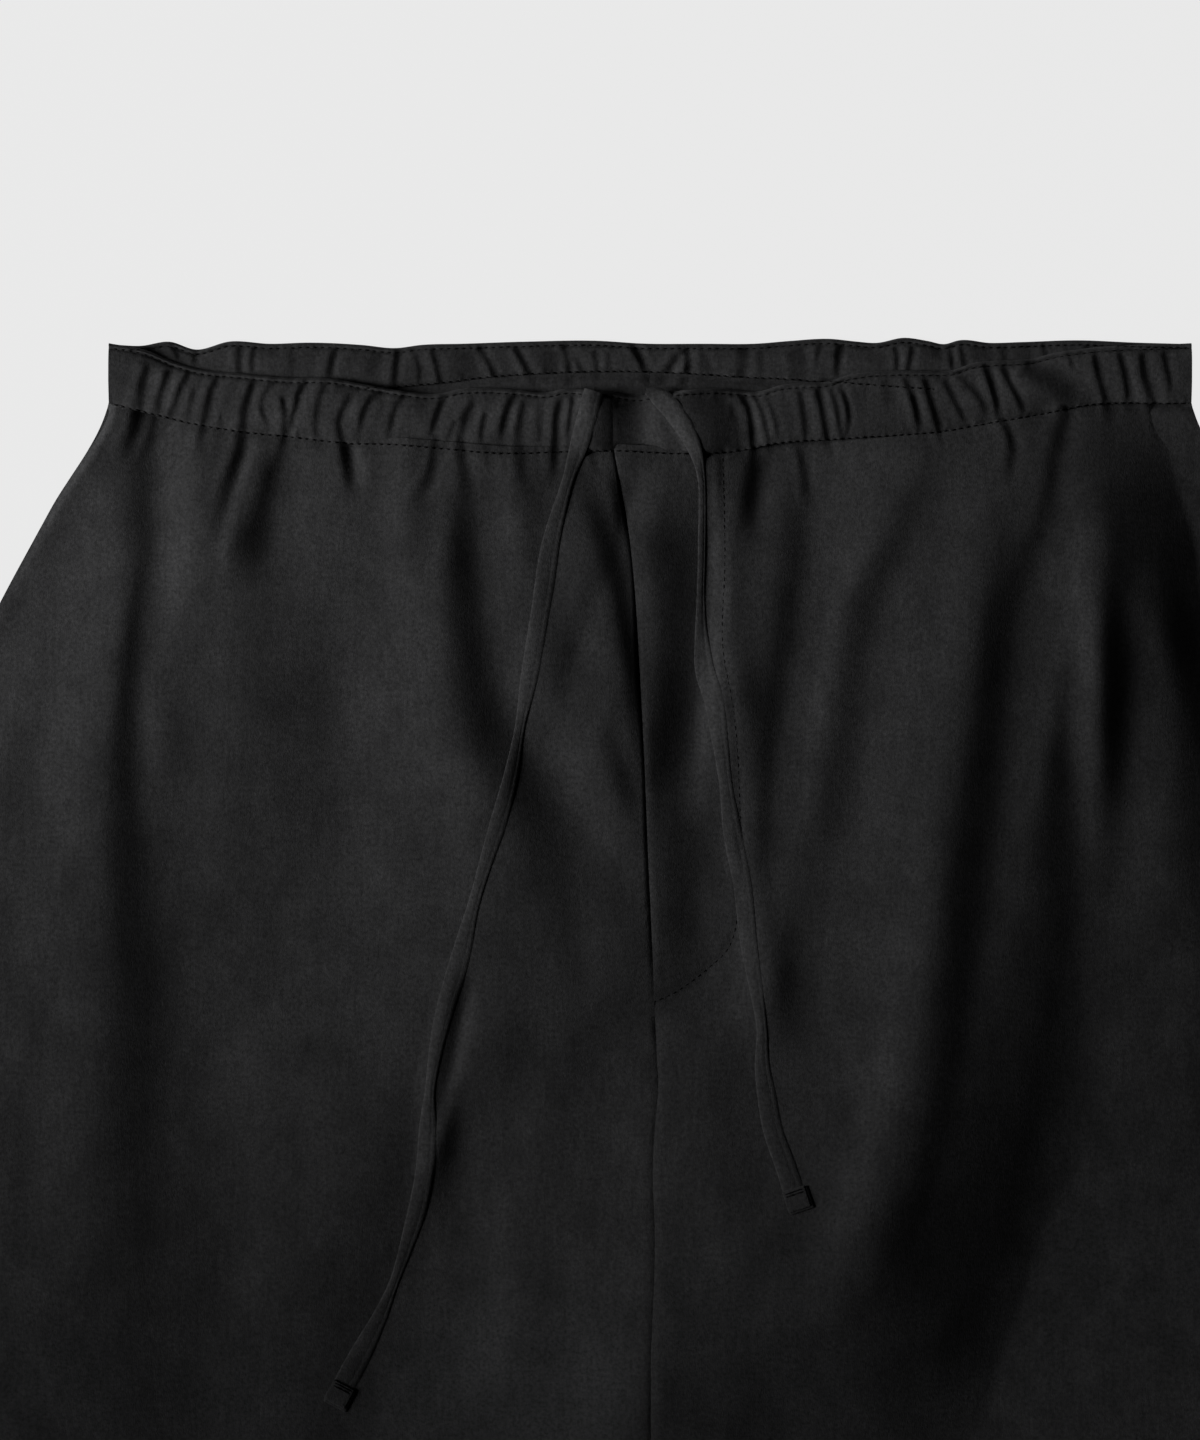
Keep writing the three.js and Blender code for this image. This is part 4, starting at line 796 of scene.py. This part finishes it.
# Waistband


# Soft folds at the two ends of the plain stretch over the fly, with the columns of the large folds
PLAIN_FOLDS = (
    (((-12.5, 15), (-12.5, 27), (-12, 43)), 16, 18, 7, 9, 3.3, 0.5),
    (((20, 15), (22.7, 24), (25.8, 34), (26.5, 44)), 26, 15, 7, 9, 3.1, 0.6),
)


def band_section(part, height, is_back):
    """Across the band from its seam over the top fold: the distance down from the fold, and the height."""
    face = 0.86
    v = np.clip(part / face, 0, 1)
    down = height * (1 - v)
    above_seam = height - down
    level = mix(1.1, 2.9, smooth(above_seam / 9))
    stitch = 0.35 * np.exp(-(((down - 1.75) / 0.5) ** 2))
    lean = 0 if is_back else 1.3 * (1 - smooth(down / 7))
    fold = 1.3 * (1 - np.clip(down / 1.4, 0, 1)) ** 2.2 + lean
    over = np.clip((part - face) / (1 - face), 0, 1)
    back_down = (1.2 if is_back else 1.6) * smooth(over)
    fall = (2 if is_back else 1.2) * over
    return down + back_down * over, level - stitch - fold - fall, v


def make_band(name, from_x, to_x, columns, top, seam, gathers, rest, is_back):
    piece, share, part = flat_grid(name + "_cloth", columns, BAND_ROWS)
    part = 1 - part
    across = mix(from_x, to_x, share)
    start = through(top, across)
    height = through(seam, across) - start
    offset, rise, v = band_section(part, height, is_back)
    relief = gather_relief(across, start + offset, gathers) * (1 - 0.4 * smooth((v - 0.84) / 0.16))
    relief *= smooth((HALF_WAIST - np.abs(across)) / 3)
    apart = height * v
    if not is_back:
        relief += fold_relief(across, start + offset, PLAIN_FOLDS, step=3, fade_in=0.05, fade_out=0.05)
    puckers = seam_pucker(across, apart, 7) + 0.5 * seam_pucker(across, np.abs(offset - 1.75), 8)
    wobble = 0.3 * ripple(across, offset * 3, 16, 11 if is_back else 5)
    plain = smooth((across - PLAIN_FROM) / 2) * smooth((PLAIN_TO - across) / 4) * (0 if is_back else 1)
    hollow = 0.5 * smooth((offset - 1.6) / 1.4) * smooth((8 - offset) / 5)
    dish = plain * (0.7 * np.exp(-((apart / 2) ** 2)) + hollow)
    swell = 1.3 * smooth((offset - 1) / 6) * smooth(height / 8) if is_back else 0
    lift = rest + rise + swell + relief + puckers + wobble * (1 - plain) - dish
    at_join = np.exp(-(((across - PLAIN_FROM) / 0.7) ** 2))
    join = 0 if is_back else 0.12 * at_join * smooth((1.02 - v) / 0.05)
    place_points(piece, across, start + offset, np.maximum(lift - join, CLOTH + 0.05))
    thicken(piece, CLOTH)
    lay_flat(piece)
    keep_surface(name, piece)
    finish_piece(piece, cloth, name)


make_front("front_right", True)
make_front("front_left", False)
make_back("back_right", True)
make_back("back_left", False)

# The bands: the name, where each starts and ends across, its columns, top fold, gathering seam and gathers,
# the height it rests at, and whether it is the back one
BANDS = (
    ("band_front_right", -HALF_WAIST, PLAIN_FROM, 330, FRONT_TOP, FRONT_SEAM, FRONT_GATHERS,
     BAND_REST, False),
    ("band_front_left", PLAIN_FROM, HALF_WAIST, 370, FRONT_TOP, FRONT_SEAM, FRONT_GATHERS,
     BAND_REST, False),
    ("band_back", -HALF_WAIST, HALF_WAIST, 560, BACK_TOP, BACK_SEAM, BACK_GATHERS, 0.1, True),
)
for band_row in BANDS:
    make_band(*band_row)

# Sewing


def make_stitches(name, line, thick, sunk):
    """A row of stitches along a line of places: the thread dips into the cloth between them."""
    points = route_points(line, STITCH / 6)
    count = len(points)
    run = np.gradient(points, axis=0)
    run /= np.linalg.norm(run, axis=1)[:, None]
    heights = np.array([(ground_at(x * MM, (LENGTH / 2 - down) * MM) or 0) / MM for x, down in points])
    wide = np.pad(heights, 2, mode="edge")
    heights = np.stack([wide[k:k + count] for k in range(5)]).mean(axis=0)
    dip = 0.5 - 0.5 * np.cos(2 * math.pi * np.arange(count) / 6)
    uneven = 0.55 * thick * ripple(points[:, 0] + points[:, 1], points[:, 1] * 0, 6, 21)
    points[:, 1] += 0.12 * ripple(points[:, 0], points[:, 0] * 0, 5, 22)
    heights = heights + mix(-sunk, thick * 0.1, smooth(dip * 1.6)) + uneven
    middle = np.stack([points[:, 0] * MM, (LENGTH / 2 - points[:, 1]) * MM, heights * MM], axis=1)
    level = np.stack([run[:, 1], run[:, 0], np.zeros(count)], axis=1)
    turns = np.arange(6) * math.pi / 3
    aside = level[:, None, :] * np.cos(turns)[None, :, None]
    above = np.array([0, 0, 1]) * np.sin(turns)[None, :, None]
    piece = tube(name, middle[:, None, :] + (aside + above) * thick / 2 * MM)
    bpy.ops.object.shade_smooth_by_angle(angle=math.radians(60))
    # The thread material carries painted shade: it is darker than the cloth so the stitch line reads as
    # shaded
    finish_piece(piece, thread_with_painted_shade, None)


def along_band(table, from_x, to_x, offset):
    places = np.arange(from_x, to_x, 1.3)
    return np.stack([places, through(table, places) + offset], axis=1)


BAND_STITCHES = (
    ("right_band_edge_stitches", FRONT_TOP, -188, PLAIN_FROM - 0.5, 1.75, 0.46),
    ("left_band_edge_stitches", FRONT_TOP, PLAIN_FROM + 0.5, 188, 1.75, 0.46),
    ("back_band_edge_stitches", BACK_TOP, -188, 188, 1.75, 0.5),
    ("right_gathering_stitches", FRONT_SEAM, -188, PLAIN_FROM - 0.5, -0.1, 0.6),
    ("left_gathering_stitches", FRONT_SEAM, PLAIN_FROM + 0.5, 188, -0.1, 0.6),
    ("back_gathering_stitches", BACK_SEAM, -100, 100, -0.1, 0.6),
)
for stitch_name, table, from_x, to_x, offset, thick in BAND_STITCHES:
    make_stitches(stitch_name, along_band(table, from_x, to_x, offset), thick, 0.5)
make_stitches("fly_stitches", np.array(J_STITCH), 0.26, 0.3)

# Drawstring


TAPE_LANES = np.array((-1, -0.5, 0, 0.5, 1))


def even_along(rows, turns):
    for _ in range(turns):
        wide = np.pad(rows, ((2, 2), (0, 0)), mode="edge")
        rows = np.stack([wide[k:k + len(rows)] for k in range(5)]).mean(axis=0)
    return rows


def tape_path(rows):
    """The tape's line in metres, its narrowing, and the cloth's height in mm under five lanes of it."""
    points = route_points(rows, TAPE_STEP)
    to_end = np.arange(len(points))[::-1] * TAPE_STEP
    narrow = np.cos(np.radians(points[:, 2])) * (1 + TAPE_FLARE * smooth(1 - to_end / TAPE_FLARE_RUN))
    run = np.gradient(points[:, :2], axis=0)
    run /= np.linalg.norm(run, axis=1)[:, None]
    lanes = np.empty((len(points), len(TAPE_LANES)))
    for i, (across, down, _) in enumerate(points):
        for j, lane in enumerate(TAPE_LANES):
            reach = lane * TAPE_WIDTH / 2 * narrow[i]
            x, y = across - run[i, 1] * reach, LENGTH / 2 - down - run[i, 0] * reach
            height = ground_at(x * MM, y * MM)
            lanes[i, j] = BACK_WALL if height is None else height / MM
    behind = through(FRONT_TOP, points[:, 0]) - points[:, 1]
    on_band = np.argmax(behind < 0)
    peak = lanes[on_band:on_band + 4].max()
    tucked = mix(peak, TAPE_TUCK_RISE, smooth(behind / TAPE_TUCK))
    lanes = np.where(behind[:, None] > 0, tucked[:, None], lanes)
    wide = np.pad(lanes, ((1, 1), (0, 0)), mode="edge")
    lanes = even_along(np.stack([wide[k:k + len(lanes)] for k in range(3)]).max(axis=0), 2)
    middle = lanes.mean(axis=1) + TAPE_WALL / 2 + TAPE_LIFT
    line = np.stack([points[:, 0] * MM, (LENGTH / 2 - points[:, 1]) * MM, middle * MM], axis=1)
    return line, narrow, lanes


# Section of a tape: across it as a share of its half width, and its height as a share of its wall
TAPE_SECTION = (
    (0.92, -0.5), (0, -0.5), (-0.92, -0.5), (-1, -0.36), (-0.93, -0.12), (-0.78, 0.15),
    (-0.52, 0.38), (-0.42, 0.24),
    (-0.32, 0.42), (0.1, 0.48), (0.5, 0.45), (0.84, 0.22), (0.96, -0.05), (1, -0.3),
)


def make_tape(name, rows):
    line, narrow, lanes = tape_path(rows)
    count = len(line)
    run = np.gradient(line, axis=0)
    run /= np.linalg.norm(run, axis=1)[:, None]
    level = np.stack([run[:, 1], -run[:, 0], np.zeros(count)], axis=1)
    level /= np.linalg.norm(level, axis=1)[:, None]
    section = np.array(TAPE_SECTION)
    waver = 1 + 0.04 * np.sin(np.arange(count) / 7.0)
    reach = section[None, :, 0] * TAPE_WIDTH / 2 * (waver * narrow)[:, None]
    places = line[:, None, :] + level[:, None, :] * reach[:, :, None] * MM
    cloth_below = np.stack([np.interp(section[:, 0], TAPE_LANES, lane_heights) for lane_heights in lanes])
    places[:, :, 2] = (cloth_below + TAPE_LIFT + (0.5 + section[None, :, 1]) * TAPE_WALL) * MM
    piece = tube(name + "_cloth", places)
    bpy.ops.object.shade_smooth_by_angle(angle=math.radians(40))
    finish_piece(piece, tape_cloth, name)
    return piece, line, run


def make_tape_end(name, line, run):
    """The turned end of a tape: the tape over its turned-in flap."""
    end = Vector(line[-1])
    ahead = Vector(run[-1])
    ahead.z = 0
    ahead.normalize()
    turn = math.atan2(ahead.y, ahead.x)
    layers = []
    for place, aside, high, size in TAPE_END_LAYERS:
        centre = end + ahead * place * MM + Vector((-ahead.y, ahead.x, 0)) * aside * MM
        centre.z = 0
        deselect()
        bpy.ops.mesh.primitive_cube_add(size=1, location=centre, rotation=(0, 0, turn))
        layer = bpy.context.active_object
        layer.scale = [side * MM for side in size]
        bpy.ops.object.transform_apply(location=True, rotation=True, scale=True)
        bpy.ops.object.mode_set(mode="EDIT")
        bpy.ops.mesh.subdivide(number_cuts=4)
        bpy.ops.object.mode_set(mode="OBJECT")
        round_off = layer.modifiers.new("round", "BEVEL")
        round_off.width = 0.28 * MM
        round_off.segments = 3
        bpy.ops.object.modifier_apply(modifier="round")
        for vertex in layer.data.vertices:
            vertex.co.z += (ground_at(vertex.co.x, vertex.co.y) or end.z) + high * MM
        layers.append(layer)
    deselect()
    for layer in layers:
        layer.select_set(True)
    bpy.context.view_layer.objects.active = layers[0]
    bpy.ops.object.join()
    piece = layers[0]
    piece.name = name + "_cloth"
    piece.data.name = name + "_cloth"
    piece.location = (0, 0, 0)
    bpy.ops.object.shade_smooth_by_angle(angle=math.radians(50))
    finish_piece(piece, tape_cloth, name)
    keep_surface(name, piece)
    return piece


def make_end_stitches(name, line, run):
    """The two rows of stitches that close a tape's turned end."""
    end = np.array([line[-1][0] / MM, LENGTH / 2 - line[-1][1] / MM])
    ahead = np.array([run[-1][0], -run[-1][1]]) / np.hypot(run[-1][0], run[-1][1])
    aside = np.array([-ahead[1], ahead[0]])
    for number, place in enumerate(END_STITCH_PLACES, start=1):
        points = [end + ahead * place + aside * reach for reach in (-3.1, -1.6, 0, 1.6, 3.1)]
        make_stitches(f"{name}_stitches_{number}", np.array(points), 0.5, 0.1)


# How far past the tape's end its two rows of stitches lie
END_STITCH_PLACES = (0.9, 1.9)
# The tape's end over its turned-in flap: how far each lies ahead, aside and above the cloth, and its sizes
TAPE_END_LAYERS = (
    (3.7, 0, 0.5, (7.4, 8.0, 0.62)),
    (4.2, 0.6, 0.2, (8, 8.4, 0.56)),
)
for tape_name, tape_rows in (("tape_right", RIGHT_TAPE), ("tape_left", LEFT_TAPE)):
    tape, tape_line, tape_run = make_tape(tape_name, tape_rows)
    end_piece = make_tape_end(tape_name + "_end", tape_line, tape_run)
    make_end_stitches(tape_name, tape_line, tape_run)
